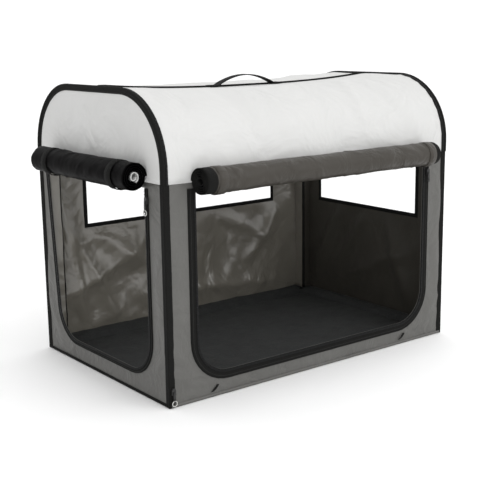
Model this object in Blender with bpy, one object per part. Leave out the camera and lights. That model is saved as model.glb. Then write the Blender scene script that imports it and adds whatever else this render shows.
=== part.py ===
"""Soft folding dog crate: a steel tube frame with knee-jointed legs and two folding roof hoops, inside a
sewn cover with rolled-up front and side doors, net windows, a fleece mat and a webbing handle.

Run with blender --background --python part.py. Metres, +Z up, origin at the middle of the base on the ground.
+X runs along the crate, away from the side door, and the front door faces -Y.
"""

import math

import bmesh
import bpy
from mathutils import Vector

# Driving dimensions of the cover
LENGTH = 0.800
DEPTH = 0.520
HEIGHT = 0.630
ROOF_RISE = 0.178
SPLIT_HEIGHT = HEIGHT - ROOF_RISE
SHOULDER_RADIUS = 0.150
ROOF_SAG = 0.014
ROOF_SAG_POWER = 2.6
ROOF_STATION_SHARES = (-1, -0.93, -0.75, -0.5, -0.25, 0, 0.25, 0.5, 0.75, 0.93, 1)

# Clearances
TOUCH = 0.0003
LAP_GAP = 0.0005
SKIN_GAP = 0.0015
OVERRUN = 0.010

# Cloth, webbing and binding
SKIN = 0.001
BINDING = 0.0013
BINDING_WIDTH = 0.013
HEM_HEIGHT = 0.010
HEM_LIFT = 0.001
RIDGE_WIDTH = 0.010

# Frame tubes and joints
TUBE_RADIUS = 0.008
TUBE_WALL = 0.001
TUBE_SIDES = 12
FRAME_INSET = 0.014
BASE_TUBE_HEIGHT = 0.014
BASE_RAIL_INSET = 0.015
FOOT_PIVOT_HEIGHT = 0.037
TOP_PIVOT_DROP = 0.018
TOP_TUBE_RISE = 0.004
HOOP_PIVOT_RISE = 0.026
KNEE_OVER_CENTRE = 0.003
TUBE_END_REACH = 0.006
SOCKET_DEPTH = 0.0145
SOCKET_WALL = 0.0022
BAR_SETBACK = 2 * SOCKET_WALL
BLOCK_INNER_WALL = 6 * SOCKET_WALL
BLOCK_LENGTH = 0.0365
EAR_THICKNESS = 0.003
EAR_HALF_WIDTH = 0.0062
EAR_ROOT = 0.001
EDGE_BEVEL = 0.0007
RIVET_RADIUS = 0.0025
RIVET_HEAD_RADIUS = 0.0045
RIVET_HEAD = 0.0008
RIVET_SEAT = 0.0015
RIVET_SIDES = 10

# Floor
FLOOR_THICKNESS = 0.003
MAT_THICKNESS = 0.010
MAT_CLEARANCE = 0.0025
MAT_CORNER = 0.018
MAT_EDGE_SHARE = 0.985

# Front door
DOOR_HALF_WIDTH = 0.352
DOOR_SILL = 0.027
DOOR_CORNER = 0.100
DOOR_TAPE = 0.026
DOOR_HEADER = 0.012

# Side door
SIDE_HALF_WIDTH = 0.213
SIDE_SILL = 0.032
SIDE_CORNER = 0.095
SIDE_TAPE = 0.020
SIDE_LEAN = 0.026

# Net windows
WINDOW_HEIGHT = 0.144
WINDOW_TOP_INSET = 0.024
BACK_WINDOW_HALF = 0.290
END_WINDOW_HALF = 0.178
WINDOW_BINDING = 0.010
NET_STRAND = 0.0012
NET_THICKNESS = 0.0006
NET_INSET = 0.8 * SKIN
BACK_NET_CELLS = (12, 4)
END_NET_CELLS = (7, 4)

# Rolled doors
ROLL_RADIUS = 0.0300
ROLL_CORE = 0.006
ROLL_CLOTH = 0.0030
ROLL_TURNS = 4
ROLL_WAIST = 0.97
FRONT_ROLL_SPAN = (-0.335, 0.334)
FRONT_ROLL_RISE = 0.002
SIDE_ROLL_RADIUS = 0.0320
SIDE_ROLL_SPAN = (-0.205, 0.187)
SIDE_ROLL_RISE = 0.012
TIE_WIDTH = 0.022
TIE_THICKNESS = 0.0015
TIE_GAP_ANGLE = 18
FRONT_TIE_SHARES = (0.06, 0.95)
SIDE_TIE_SHARES = (0.14, 0.84)

# Handle
HANDLE_WIDTH = 0.025
HANDLE_THICKNESS = 0.0025
HANDLE_SPAN = 0.160
HANDLE_FOOT = 0.022
HANDLE_RISE = 0.022
HANDLE_STATION_SHARES = (-0.8, -0.5, 0, 0.5, 0.8)
HANDLE_ARCH_POWER = 0.8

# Zip sliders and pulls
SLIDER_WIDTH = 0.009
SLIDER_HEIGHT = 0.014
SLIDER_THICKNESS = 0.005
SLIDER_DROP = 0.008
SLIDER_SHOULDER = 0.28 * SLIDER_HEIGHT
PULL_LENGTH = 0.024
PULL_WIDTH = 0.005
PULL_THICKNESS = 0.0016
PULL_NECK_SHARE = 0.7
PULL_NECK_LENGTH_SHARE = 0.35
PULL_SLOT_SHARE = 0.4
PULL_SLOT_ENDS = (0.85, 0.6)
COVER_SLIDER_LIFT = 0.012

# Ground loops on the front hem
LOOP_PLACES = (-0.290, 0.262)
LOOP_LENGTH = 0.022
LOOP_WIDTH = 0.007

# Worked-out places
half_length = LENGTH / 2
half_depth = DEPTH / 2
window_top = SPLIT_HEIGHT - WINDOW_TOP_INSET
window_sill = window_top - WINDOW_HEIGHT
front_roll_z = SPLIT_HEIGHT + FRONT_ROLL_RISE
side_roll_z = SPLIT_HEIGHT + SIDE_ROLL_RISE
cloth_x = half_length - SKIN
cloth_y = half_depth - SKIN
leg_x = half_length - FRAME_INSET
outer_y = cloth_y - SKIN_GAP - TUBE_RADIUS
inner_y = outer_y - 2 * TUBE_RADIUS - LAP_GAP
foot_z = FOOT_PIVOT_HEIGHT
crown_z = SPLIT_HEIGHT - TOP_PIVOT_DROP
knee_z = (foot_z + crown_z) / 2
top_z = SPLIT_HEIGHT + TOP_TUBE_RISE
hoop_z = SPLIT_HEIGHT + HOOP_PIVOT_RISE
base_rail_y = half_depth - BASE_RAIL_INSET
bore = TUBE_RADIUS + TOUCH
sides = (("left", -1), ("right", 1))
edges = (("front", -1), ("back", 1))


def material(name, colour, roughness, metallic=0.0):
    made = bpy.data.materials.new(name)
    made.use_nodes = True
    shader = made.node_tree.nodes["Principled BSDF"]
    shader.inputs["Base Color"].default_value = (*colour, 1.0)
    shader.inputs["Roughness"].default_value = roughness
    shader.inputs["Metallic"].default_value = metallic
    made.diffuse_color = (*colour, 1.0)
    return made


def empty(name, place, parent=None):
    made = bpy.data.objects.new(name, None)
    bpy.context.scene.collection.objects.link(made)
    made.parent = parent
    made["world"] = place
    made.location = Vector(place) - Vector(parent["world"] if parent else (0, 0, 0))
    return made


def add(name, bm, look, parent, place=(0, 0, 0)):
    """A mesh object at a world place, under the empty that stands on its body's joint axis."""
    bmesh.ops.recalc_face_normals(bm, faces=bm.faces)
    mesh = bpy.data.meshes.new(name)
    bm.to_mesh(mesh)
    bm.free()
    mesh.shade_smooth()
    mesh.set_sharp_from_angle(angle=math.radians(40))
    made = bpy.data.objects.new(name, mesh)
    bpy.context.scene.collection.objects.link(made)
    made.parent = parent
    made.location = Vector(place) - Vector(parent["world"] if parent else (0, 0, 0))
    if look:
        mesh.materials.append(look)
    return made


def helper(name, bm):
    made = add(name, bm, None, None)
    made.hide_render = True
    made.display_type = "WIRE"
    return made


def boolean(obj, other, operation):
    modifier = obj.modifiers.new(operation.lower(), "BOOLEAN")
    modifier.operation = operation
    modifier.object = other
    modifier.solver = "EXACT"


def loft(bm, rings, closed=False):
    """Joins equal rings of points into one skin, with a flat cap at each end unless the rings close."""
    rows = [[bm.verts.new(point) for point in ring] for ring in rings]
    count = len(rows[0])
    pairs = list(zip(rows, rows[1:]))
    if closed:
        pairs.append((rows[-1], rows[0]))
    for low, high in pairs:
        for i in range(count):
            j = (i + 1) % count
            bm.faces.new((low[i], low[j], high[j], high[i]))
    if not closed:
        bm.faces.new(rows[0])
        bm.faces.new(rows[-1])


def box(bm, low, high):
    corners = [(low[0], low[1]), (high[0], low[1]), (high[0], high[1]), (low[0], high[1])]
    loft(bm, [[Vector((x, y, z)) for x, y in corners] for z in (low[2], high[2])])


def circle(centre, across, up, radius, count):
    turns = [2 * math.pi * i / count for i in range(count)]
    return [centre + radius * (math.cos(a) * across + math.sin(a) * up) for a in turns]


def cylinder(bm, start, end, radius, count):
    start, end = Vector(start), Vector(end)
    along = (end - start).normalized()
    across = along.orthogonal().normalized()
    up = along.cross(across)
    loft(bm, [circle(point, across, up, radius, count) for point in (start, end)])


def pipe(bm, path, across):
    """A hollow tube along a flat path; across is the direction square to the path's plane."""
    outer = []
    inner = []
    for i, point in enumerate(path):
        before = path[max(i - 1, 0)]
        after = path[min(i + 1, len(path) - 1)]
        up = (after - before).normalized().cross(across)
        outer.append(circle(point, across, up, TUBE_RADIUS, TUBE_SIDES))
        inner.append(circle(point, across, up, TUBE_RADIUS - TUBE_WALL, TUBE_SIDES))
    loft(bm, outer + inner[::-1], closed=True)


def slab(bm, outline, holes, to_world, thickness):
    """A flat plate of the outline with holes; to_world turns plate x, y and depth into a point."""
    start = []
    for loop in [outline, *holes]:
        corners = [bm.verts.new(to_world(x, y, 0)) for x, y in loop]
        for i, corner in enumerate(corners):
            start.append(bm.edges.new((corner, corners[(i + 1) % len(corners)])))
    filled = bmesh.ops.triangle_fill(bm, use_beauty=True, edges=start)
    faces = [item for item in filled["geom"] if isinstance(item, bmesh.types.BMFace)]
    raised = bmesh.ops.extrude_face_region(bm, geom=faces)
    moved = [item for item in raised["geom"] if isinstance(item, bmesh.types.BMVert)]
    shift = to_world(0, 0, thickness) - to_world(0, 0, 0)
    bmesh.ops.translate(bm, verts=moved, vec=shift)


def rectangle(low, high):
    return [(low[0], low[1]), (high[0], low[1]), (high[0], high[1]), (low[0], high[1])]


def arc(centre, radius, first, last, steps):
    angles = [math.radians(first + (last - first) * i / steps) for i in range(steps + 1)]
    return [(centre[0] + radius * math.cos(a), centre[1] + radius * math.sin(a)) for a in angles]


def u_shape(half, sill, corner, top, lean=0.0):
    """A door outline with round lower corners and a level top. Its second side leans outwards by the lean."""
    left = arc((-half + corner, sill + corner), corner, 180, 270, 8)
    right = arc((half - corner, sill + corner), corner, 270, 360, 8)
    return [(-half, top), *left, *right, (half + lean, top)]


def hoop_outline(inset, steps):
    """The end outline over the roof, from one split line to the other, drawn in by the inset."""
    half = half_depth - inset
    radius = SHOULDER_RADIUS - inset
    centre_y = half_depth - SHOULDER_RADIUS
    centre_z = HEIGHT - SHOULDER_RADIUS
    front = arc((-centre_y, centre_z), radius, 180, 90, steps)
    back = arc((centre_y, centre_z), radius, 90, 0, steps)
    start = SPLIT_HEIGHT + TOUCH
    return [(-half, start), *front, (0.0, HEIGHT - inset), *back, (half, start)]


def front_plane(depth_y):
    return lambda x, z, depth: Vector((x, depth_y + depth, z))


def end_plane(depth_x):
    return lambda y, z, depth: Vector((depth_x + depth, y, z))


def roof_drop(x, z):
    """How far the roof hangs below the hoops' line at a place along and up the cover."""
    reach = leg_x - TUBE_RADIUS - BINDING_WIDTH / 2
    along = max(0.0, 1 - (abs(x) / reach) ** ROOF_SAG_POWER)
    rise = max(0.0, (z - HEIGHT + SHOULDER_RADIUS) / SHOULDER_RADIUS)
    return ROOF_SAG * along * rise


def roof_stations():
    reach = cloth_x - TOUCH
    return [reach * share for share in ROOF_STATION_SHARES]


def ridge_height(x):
    """The roof's top along its middle, straight from one station to the next as its skin is."""
    stations = roof_stations()
    for low, high in zip(stations, stations[1:]):
        if low <= x <= high:
            share = (x - low) / (high - low)
            drop = roof_drop(low, HEIGHT) * (1 - share) + roof_drop(high, HEIGHT) * share
            return HEIGHT - drop
    return HEIGHT


def spiral(radius, turns, cloth, points_per_turn):
    """A rolled cloth seen from its end, as one closed outline from the core out and back."""
    count = int(turns * points_per_turn)
    outward = []
    inward = []
    for i in range(count + 1):
        share = i / count
        angle = 2 * math.pi * turns * share + math.pi
        middle = ROLL_CORE + (radius - cloth / 2 - ROLL_CORE) * share
        direction = (math.cos(angle), math.sin(angle))
        outward.append(tuple((middle + cloth / 2) * part for part in direction))
        inward.append(tuple((middle - cloth / 2) * part for part in direction))
    return outward + inward[::-1]


for old in list(bpy.data.objects):
    bpy.data.objects.remove(old, do_unlink=True)

steel = material("dark_steel_tube", (0.10, 0.10, 0.105), 0.35, 0.9)
plastic = material("black_plastic", (0.02, 0.02, 0.022), 0.5)
light_cloth = material("light_grey_cloth", (0.66, 0.66, 0.65), 0.85)
dark_cloth = material("dark_grey_cloth", (0.11, 0.11, 0.105), 0.85)
black_cloth = material("black_binding", (0.012, 0.012, 0.011), 0.8)
black_net = material("black_net", (0.016, 0.014, 0.015), 0.45)
window_net = material("pale_net", (0.85, 0.85, 0.85), 0.4)
fleece = material("charcoal_fleece", (0.03, 0.03, 0.03), 0.95)
board = material("floor_board", (0.05, 0.05, 0.05), 0.8)
zip_metal = material("zip_metal", (0.35, 0.35, 0.36), 0.3, 1.0)

base = empty("base", (0, 0, 0))
top_frame = empty("top_frame", (-leg_x, 0, crown_z), base)
lower_legs = {n: empty(f"lower_legs_{n}", (s * leg_x, 0, foot_z), base) for n, s in sides}
knee_x = leg_x + KNEE_OVER_CENTRE
upper_legs = {n: empty(f"upper_legs_{n}", (s * knee_x, 0, knee_z), lower_legs[n]) for n, s in sides}
hoops = {n: empty(f"hoop_{n}", (s * leg_x, 0, hoop_z), top_frame) for n, s in sides}


def pivot_bores(name, places):
    """A cutter with a running bore at each place, through the tubes on all four corners."""
    bm = bmesh.new()
    radius = RIVET_RADIUS + TOUCH
    for _, side in sides:
        for x, z in places:
            for _, edge in edges:
                start = (side * x, edge * (inner_y - TUBE_RADIUS - OVERRUN), z)
                end = (side * x, edge * half_depth, z)
                cylinder(bm, start, end, radius, RIVET_SIDES)
    return helper(name, bm)


def pin(name, side, edge, x, z, stations):
    """A headed rivet along Y, turned from stations of distance from the crate's middle and radius."""
    bm = bmesh.new()
    rings = []
    for y, radius in stations:
        centre = Vector((side * x, edge * y, z))
        rings.append(circle(centre, Vector((1, 0, 0)), Vector((0, 0, 1)), radius, RIVET_SIDES))
    loft(bm, rings)
    return helper(name, bm)


def lug_pin(name, side, edge, plane_y, z):
    """The rivet set in a lug, with its free head over the far face of the tube that turns on it."""
    lug_face = plane_y - TUBE_RADIUS - LAP_GAP - EAR_THICKNESS
    far = plane_y + TUBE_RADIUS + TOUCH
    stations = (
        (lug_face - RIVET_HEAD, RIVET_HEAD_RADIUS),
        (lug_face + EAR_ROOT, RIVET_HEAD_RADIUS),
        (lug_face + EAR_ROOT, RIVET_RADIUS),
        (far, RIVET_RADIUS),
        (far, RIVET_HEAD_RADIUS),
        (far + RIVET_HEAD, RIVET_HEAD_RADIUS),
    )
    return pin(name, side, edge, leg_x, z, stations)


def knee_pin(name, side, edge):
    """The rivet set in the lower leg, with its free head over the inner face of the upper leg."""
    near = inner_y - TUBE_RADIUS - TOUCH
    far = outer_y + TUBE_RADIUS
    stations = (
        (near - RIVET_HEAD, RIVET_HEAD_RADIUS),
        (near, RIVET_HEAD_RADIUS),
        (near, RIVET_RADIUS),
        (far - RIVET_SEAT, RIVET_RADIUS),
        (far - RIVET_SEAT, RIVET_HEAD_RADIUS),
        (far + RIVET_HEAD, RIVET_HEAD_RADIUS),
    )
    return pin(name, side, edge, knee_x, knee_z, stations)


def tube_sockets():
    """One cutter with the sockets that the rails and bars push into."""
    bm = bmesh.new()
    for rail_y, z in ((base_rail_y, BASE_TUBE_HEIGHT), (inner_y, top_z)):
        end_x = half_length - BLOCK_LENGTH - SKIN_GAP + SOCKET_DEPTH
        bar_y = rail_y - TUBE_RADIUS - BAR_SETBACK
        for _, edge in edges:
            for _, side in sides:
                start = (side * (end_x + TOUCH), edge * rail_y, z)
                cylinder(bm, start, (side * (end_x - BLOCK_LENGTH), edge * rail_y, z), bore, TUBE_SIDES)
                start = (side * leg_x, edge * (bar_y + TOUCH), z)
                cylinder(bm, start, (side * leg_x, edge * (bar_y - BLOCK_LENGTH), z), bore, TUBE_SIDES)
    return helper("tube_sockets", bm)


def rails(prefix, parent, rail_y, z):
    end_x = half_length - BLOCK_LENGTH - SKIN_GAP + SOCKET_DEPTH
    for name, edge in edges:
        bm = bmesh.new()
        pipe(bm, [Vector((-end_x, 0, 0)), Vector((end_x, 0, 0))], Vector((0, 1, 0)))
        add(f"{prefix}_rail_{name}", bm, steel, parent, (0, edge * rail_y, z))
    bar_y = rail_y - TUBE_RADIUS - BAR_SETBACK
    for name, side in sides:
        bm = bmesh.new()
        pipe(bm, [Vector((0, -bar_y, 0)), Vector((0, bar_y, 0))], Vector((1, 0, 0)))
        add(f"{prefix}_bar_{name}", bm, steel, parent, (side * leg_x, 0, z))


def ear(name, side, edge, plane_y, root_z, pivot_z):
    """A rounded lug beside a tube's inner face, from inside the block to past the pivot."""
    rise = 1 if pivot_z > root_z else -1
    x = side * leg_x
    face = plane_y - TUBE_RADIUS - LAP_GAP
    ends = (0, 180) if rise > 0 else (360, 180)
    lug = arc((x, pivot_z), EAR_HALF_WIDTH, *ends, 8)
    start = root_z - rise * EAR_ROOT
    outline = [(x + EAR_HALF_WIDTH, start), *lug, (x - EAR_HALF_WIDTH, start)]
    bm = bmesh.new()
    low = edge * face
    slab(bm, outline, [], front_plane(low), -edge * EAR_THICKNESS)
    return helper(name, bm)


def bracket(name, parent, place, lugs, sockets):
    """A moulded corner that joins a rail, a bar and the riveted tubes above or below it."""
    side, edge, rail_y, z = place
    half_height = bore + SOCKET_WALL
    outer = half_length - SKIN_GAP
    inner = outer - BLOCK_LENGTH
    high_y = rail_y + TUBE_RADIUS + SOCKET_WALL
    low_y = rail_y - TUBE_RADIUS - BLOCK_INNER_WALL
    bm = bmesh.new()
    xs = sorted((side * inner, side * outer))
    ys = sorted((edge * low_y, edge * high_y))
    box(bm, (xs[0], ys[0], z - half_height), (xs[1], ys[1], z + half_height))
    made = add(name, bm, plastic, parent)
    bevel = made.modifiers.new("edges", "BEVEL")
    bevel.width = EDGE_BEVEL
    bevel.segments = 1
    for i, (plane_y, pivot_z) in enumerate(lugs):
        root_z = z + half_height if pivot_z > z else z - half_height
        lug = ear(f"{name}_lug_{i}", side, edge, plane_y, root_z, pivot_z)
        boolean(made, lug, "UNION")
        rivet = lug_pin(f"{name}_pin_{i}", side, edge, plane_y, pivot_z)
        boolean(made, rivet, "UNION")
    boolean(made, sockets, "DIFFERENCE")


def leg(name, parent, edge, y, low, high, bores):
    reach = (high - low).normalized() * TUBE_END_REACH
    bm = bmesh.new()
    pipe(bm, [low - reach, high + reach], Vector((0, 1, 0)))
    for vert in bm.verts:
        vert.co.y += edge * y
    for vert in bm.verts:
        vert.co -= Vector(parent["world"])
    made = add(name, bm, steel, parent, parent["world"])
    boolean(made, bores, "DIFFERENCE")
    return made


def legs():
    """Lapped leg tubes: the lower one stands in the outer plane, the upper one in the inner plane."""
    foot_bores = pivot_bores("foot_bores", [(leg_x, foot_z)])
    upper_bores = pivot_bores("upper_leg_bores", [(knee_x, knee_z), (leg_x, crown_z)])
    for name, side in sides:
        foot = Vector((side * leg_x, 0, foot_z))
        knee = Vector((side * knee_x, 0, knee_z))
        crown = Vector((side * leg_x, 0, crown_z))
        for edge_name, edge in edges:
            tail = f"{edge_name}_{name}"
            lower = leg(f"lower_leg_{tail}", lower_legs[name], edge, outer_y, foot, knee, foot_bores)
            boolean(lower, knee_pin(f"knee_pin_{tail}", side, edge), "UNION")
            leg(f"upper_leg_{tail}", upper_legs[name], edge, inner_y, knee, crown, upper_bores)


def roof_hoops():
    """Each hoop is one bent tube that stands on two lugs of the top frame."""
    bores = pivot_bores("hoop_bores", [(leg_x, hoop_z)])
    radius = SHOULDER_RADIUS - (half_depth - outer_y)
    centre_y = half_depth - SHOULDER_RADIUS
    centre_z = HEIGHT - SHOULDER_RADIUS
    for name, side in sides:
        front = arc((-centre_y, centre_z), radius, 180, 90, 7)
        back = arc((centre_y, centre_z), radius, 90, 0, 7)
        foot = hoop_z - TUBE_END_REACH
        line = [(-outer_y, foot), *front, *back, (outer_y, foot)]
        bm = bmesh.new()
        pipe(bm, [Vector((0, y, z - hoop_z)) for y, z in line], Vector((1, 0, 0)))
        made = add(f"roof_hoop_{name}", bm, steel, hoops[name], (side * leg_x, 0, hoop_z))
        boolean(made, bores, "DIFFERENCE")


def frame():
    sockets = tube_sockets()
    rails("base", base, base_rail_y, BASE_TUBE_HEIGHT)
    rails("top", top_frame, inner_y, top_z)
    for name, side in sides:
        for edge_name, edge in edges:
            tail = f"{edge_name}_{name}"
            place = (side, edge, base_rail_y, BASE_TUBE_HEIGHT)
            bracket(f"base_bracket_{tail}", base, place, [(outer_y, foot_z)], sockets)
            place = (side, edge, inner_y, top_z)
            lugs = [(inner_y, crown_z), (outer_y, hoop_z)]
            bracket(f"top_bracket_{tail}", top_frame, place, lugs, sockets)
    legs()
    roof_hoops()


def floor():
    bm = bmesh.new()
    reach_x = cloth_x - TOUCH
    reach_y = cloth_y - TOUCH
    box(bm, (-reach_x, -reach_y, 0), (reach_x, reach_y, FLOOR_THICKNESS))
    add("floor_panel", bm, board, base)
    mat_x = leg_x - TUBE_RADIUS - TOUCH - MAT_CLEARANCE
    mat_y = base_rail_y - TUBE_RADIUS - BLOCK_INNER_WALL - MAT_CLEARANCE
    corner = MAT_CORNER
    outline = []
    for x, y, first in ((1, 1, 0), (-1, 1, 90), (-1, -1, 180), (1, -1, 270)):
        outline += arc((x * (mat_x - corner), y * (mat_y - corner)), corner, first, first + 90, 4)
    bm = bmesh.new()
    bottom = FLOOR_THICKNESS + TOUCH
    crowns = (
        (MAT_EDGE_SHARE, bottom),
        (1.0, bottom + MAT_THICKNESS / 2),
        (MAT_EDGE_SHARE, bottom + MAT_THICKNESS),
    )
    loft(bm, [[Vector((x * share, y * share, z)) for x, y in outline] for share, z in crowns])
    add("fleece_mat", bm, fleece, base)


def walls():
    door_top = SPLIT_HEIGHT - DOOR_HEADER
    low = HEM_LIFT
    inner_door = u_shape(
        DOOR_HALF_WIDTH - DOOR_TAPE, DOOR_SILL + DOOR_TAPE, DOOR_CORNER - DOOR_TAPE, door_top
    )
    inner_side = u_shape(
        SIDE_HALF_WIDTH - SIDE_TAPE, SIDE_SILL + SIDE_TAPE, SIDE_CORNER - SIDE_TAPE, door_top, SIDE_LEAN
    )
    reach = cloth_x - TOUCH
    wall = rectangle((-reach, low), (reach, SPLIT_HEIGHT))
    end = rectangle((-half_depth, low), (half_depth, SPLIT_HEIGHT))
    back_window = rectangle((-BACK_WINDOW_HALF, window_sill), (BACK_WINDOW_HALF, window_top))
    end_window = rectangle((-END_WINDOW_HALF, window_sill), (END_WINDOW_HALF, window_top))
    for name, outline, hole, plane, depth in (
        ("front_wall", wall, inner_door, front_plane(-cloth_y), -SKIN),
        ("back_wall", wall, back_window, front_plane(cloth_y), SKIN),
        ("left_wall", end, inner_side, end_plane(-cloth_x), -SKIN),
        ("right_wall", end, end_window, end_plane(cloth_x), SKIN),
    ):
        bm = bmesh.new()
        slab(bm, outline, [hole], plane, depth)
        add(name, bm, dark_cloth, base)


def zip_tapes():
    """Tapes round both doorways, whose upper ends run behind the rolls up to the header."""
    top = SPLIT_HEIGHT - DOOR_HEADER
    for name, half, sill, corner, tape, lean, plane in (
        ("front_door_zip_tape", DOOR_HALF_WIDTH, DOOR_SILL, DOOR_CORNER, DOOR_TAPE, 0.0,
         front_plane(-half_depth - TOUCH)),
        ("side_door_zip_tape", SIDE_HALF_WIDTH, SIDE_SILL, SIDE_CORNER, SIDE_TAPE, SIDE_LEAN,
         end_plane(-half_length - TOUCH)),
    ):
        outer = u_shape(half, sill, corner, top, lean)
        inner = u_shape(half - tape, sill + tape, corner - tape, top, lean)
        bm = bmesh.new()
        slab(bm, outer + inner[::-1], [], plane, -BINDING)
        add(name, bm, black_cloth, base)


def window_set(name, half, cells, net_plane, binding_plane, inward):
    """A net pane inside its window, with a binding frame on the wall's inner face."""
    top = window_top
    far, near = half + WINDOW_BINDING, half - WINDOW_BINDING
    outer = rectangle((-far, window_sill - WINDOW_BINDING), (far, top + WINDOW_BINDING))
    inner = rectangle((-near, window_sill + WINDOW_BINDING), (near, top - WINDOW_BINDING))
    bm = bmesh.new()
    slab(bm, outer, [inner], binding_plane, inward * BINDING)
    add(f"{name}_window_binding", bm, black_cloth, base)
    across, up = cells
    step_x = (2 * half - 2 * TOUCH - NET_STRAND) / across
    step_z = (top - window_sill - 2 * TOUCH - NET_STRAND) / up
    gaps = []
    for i in range(across):
        for j in range(up):
            x = -half + TOUCH + NET_STRAND + i * step_x
            z = window_sill + TOUCH + NET_STRAND + j * step_z
            gaps.append(rectangle((x, z), (x + step_x - NET_STRAND, z + step_z - NET_STRAND)))
    pane = rectangle((-half + TOUCH, window_sill + TOUCH), (half - TOUCH, top - TOUCH))
    bm = bmesh.new()
    slab(bm, pane, gaps, net_plane, -inward * NET_THICKNESS)
    add(f"{name}_window_net", bm, window_net, base)


def bindings():
    """Angle strips over the four upright corners, joined by a flat hem round the foot of the walls."""
    bm = bmesh.new()
    near_x, far_x = half_length + TOUCH, half_length + TOUCH + BINDING
    near_y, far_y = half_depth + TOUCH, half_depth + TOUCH + BINDING
    high = HEM_LIFT + HEM_HEIGHT
    outer = rectangle((-far_x, -far_y), (far_x, far_y))
    inner = rectangle((-near_x, -near_y), (near_x, near_y))
    slab(bm, outer, [inner], lambda x, y, depth: Vector((x, y, HEM_LIFT + depth)), HEM_HEIGHT)
    hem = add("wall_binding", bm, black_cloth, base)
    back_x, back_y = half_length - BINDING_WIDTH, half_depth - BINDING_WIDTH
    for name, side in sides:
        for edge_name, edge in edges:
            outline = [(far_x, far_y), (back_x, far_y), (back_x, near_y), (near_x, near_y),
                       (near_x, back_y), (far_x, back_y)]
            rings = []
            for z in (high - SKIN, SPLIT_HEIGHT):
                rings.append([Vector((side * x, edge * y, z)) for x, y in outline])
            bm = bmesh.new()
            loft(bm, rings)
            boolean(hem, helper(f"corner_strip_{edge_name}_{name}", bm), "UNION")
    y = -half_depth - TOUCH
    low = high + TOUCH
    top = DOOR_SILL - TOUCH
    lean = LOOP_LENGTH / 2
    for name, x in zip(("left", "right"), LOOP_PLACES):
        foot = [(x - lean, low), (x - lean + LOOP_WIDTH, low)]
        head = [(x + lean, top), (x + lean - LOOP_WIDTH, top)]
        bm = bmesh.new()
        slab(bm, foot + head, [], front_plane(y), -BINDING)
        add(f"ground_loop_{name}", bm, black_cloth, base)


def roof():
    """The sagging roof skin, its two end panels, the hoop bindings and the seam along the ridge."""
    outer = hoop_outline(0, 7)
    inner = hoop_outline(SKIN, 7)
    rings = []
    for x in roof_stations():
        rings.append([Vector((x, y, z - roof_drop(x, z))) for y, z in outer + inner[::-1]])
    bm = bmesh.new()
    loft(bm, rings)
    add("roof_cover", bm, light_cloth, top_frame)
    for name, side in sides:
        bm = bmesh.new()
        slab(bm, outer, [], end_plane(side * cloth_x), side * SKIN)
        add(f"roof_end_{name}", bm, light_cloth, top_frame)
        bm = bmesh.new()
        over = hoop_outline(-TOUCH - BINDING, 7)
        skin = hoop_outline(-TOUCH, 7)
        deep = hoop_outline(BINDING_WIDTH, 7)
        near = half_length + TOUCH
        far = near + BINDING
        back = half_length - BINDING_WIDTH
        rings = []
        for a, b, c in zip(over, skin, deep):
            corner = [(far, a), (back, a), (back, b), (near, b), (near, c), (far, c)]
            rings.append([Vector((side * x, y, z)) for x, (y, z) in corner])
        loft(bm, rings)
        add(f"hoop_binding_{name}", bm, black_cloth, top_frame)
    bm = bmesh.new()
    end = half_length - BINDING_WIDTH - TOUCH
    rings = []
    half = RIDGE_WIDTH / 2
    for x in [-end, *[x for x in roof_stations() if abs(x) < end], end]:
        z = ridge_height(x) + TOUCH
        rings.append([Vector((x, y, z + rise)) for y, rise in
                      ((-half, 0), (half, 0), (half, BINDING), (-half, BINDING))])
    loft(bm, rings)
    add("ridge_binding", bm, black_cloth, top_frame)


def handle():
    """A webbing handle sewn down at both feet, arched between them."""
    half = HANDLE_SPAN / 2
    arch = [half * share for share in HANDLE_STATION_SHARES]
    stations = [-half - HANDLE_FOOT, -half, *arch, half, half + HANDLE_FOOT]
    rings = []
    for x in stations:
        share = min(1.0, max(0.0, (half - abs(x)) / half))
        rise = HANDLE_RISE * math.sin(share * math.pi / 2) ** HANDLE_ARCH_POWER
        z = ridge_height(x) + 2 * TOUCH + BINDING + rise
        width = HANDLE_WIDTH / 2
        rings.append([Vector((x, y, z + t)) for y, t in
                      ((-width, 0), (width, 0), (width, HANDLE_THICKNESS), (-width, HANDLE_THICKNESS))])
    bm = bmesh.new()
    loft(bm, rings)
    add("carry_handle", bm, black_cloth, top_frame)


def door_roll(name, span, radius, look, to_world):
    """A door rolled up on itself, its core inward and its free edge outside."""
    outline = spiral(radius, ROLL_TURNS, ROLL_CLOTH, 14)
    bm = bmesh.new()
    rings = []
    for share, girth in ((0, 1.0), (0.5, ROLL_WAIST), (1, 1.0)):
        along = span[0] + (span[1] - span[0]) * share
        rings.append([to_world(along, a * girth, b * girth) for a, b in outline])
    loft(bm, rings)
    add(f"{name}_roll", bm, look, top_frame)


def roll_ties(name, span, radius, to_world, tie_shares):
    """Webbing ties that go round a roll, open towards the wall."""
    ring_in = arc((0, 0), radius + TOUCH, -180 + TIE_GAP_ANGLE, 180 - TIE_GAP_ANGLE, 14)
    ring_out = arc((0, 0), radius + TOUCH + TIE_THICKNESS, -180 + TIE_GAP_ANGLE, 180 - TIE_GAP_ANGLE, 14)
    for number, share in enumerate(tie_shares, 1):
        middle = span[0] + (span[1] - span[0]) * share
        ends = (middle - TIE_WIDTH / 2, middle + TIE_WIDTH / 2)
        bm = bmesh.new()
        loft(bm, [[to_world(along, a, b) for a, b in ring_out + ring_in[::-1]] for along in ends])
        add(f"{name}_tie_{number}", bm, black_cloth, top_frame)


def roll_stand(radius):
    """How far a roll's middle lies from the wall, with the roll and its ties' ends clear of the cloth."""
    tie_end = (radius + TOUCH + TIE_THICKNESS) * math.cos(math.radians(TIE_GAP_ANGLE))
    return TOUCH + max(radius, tie_end)


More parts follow.
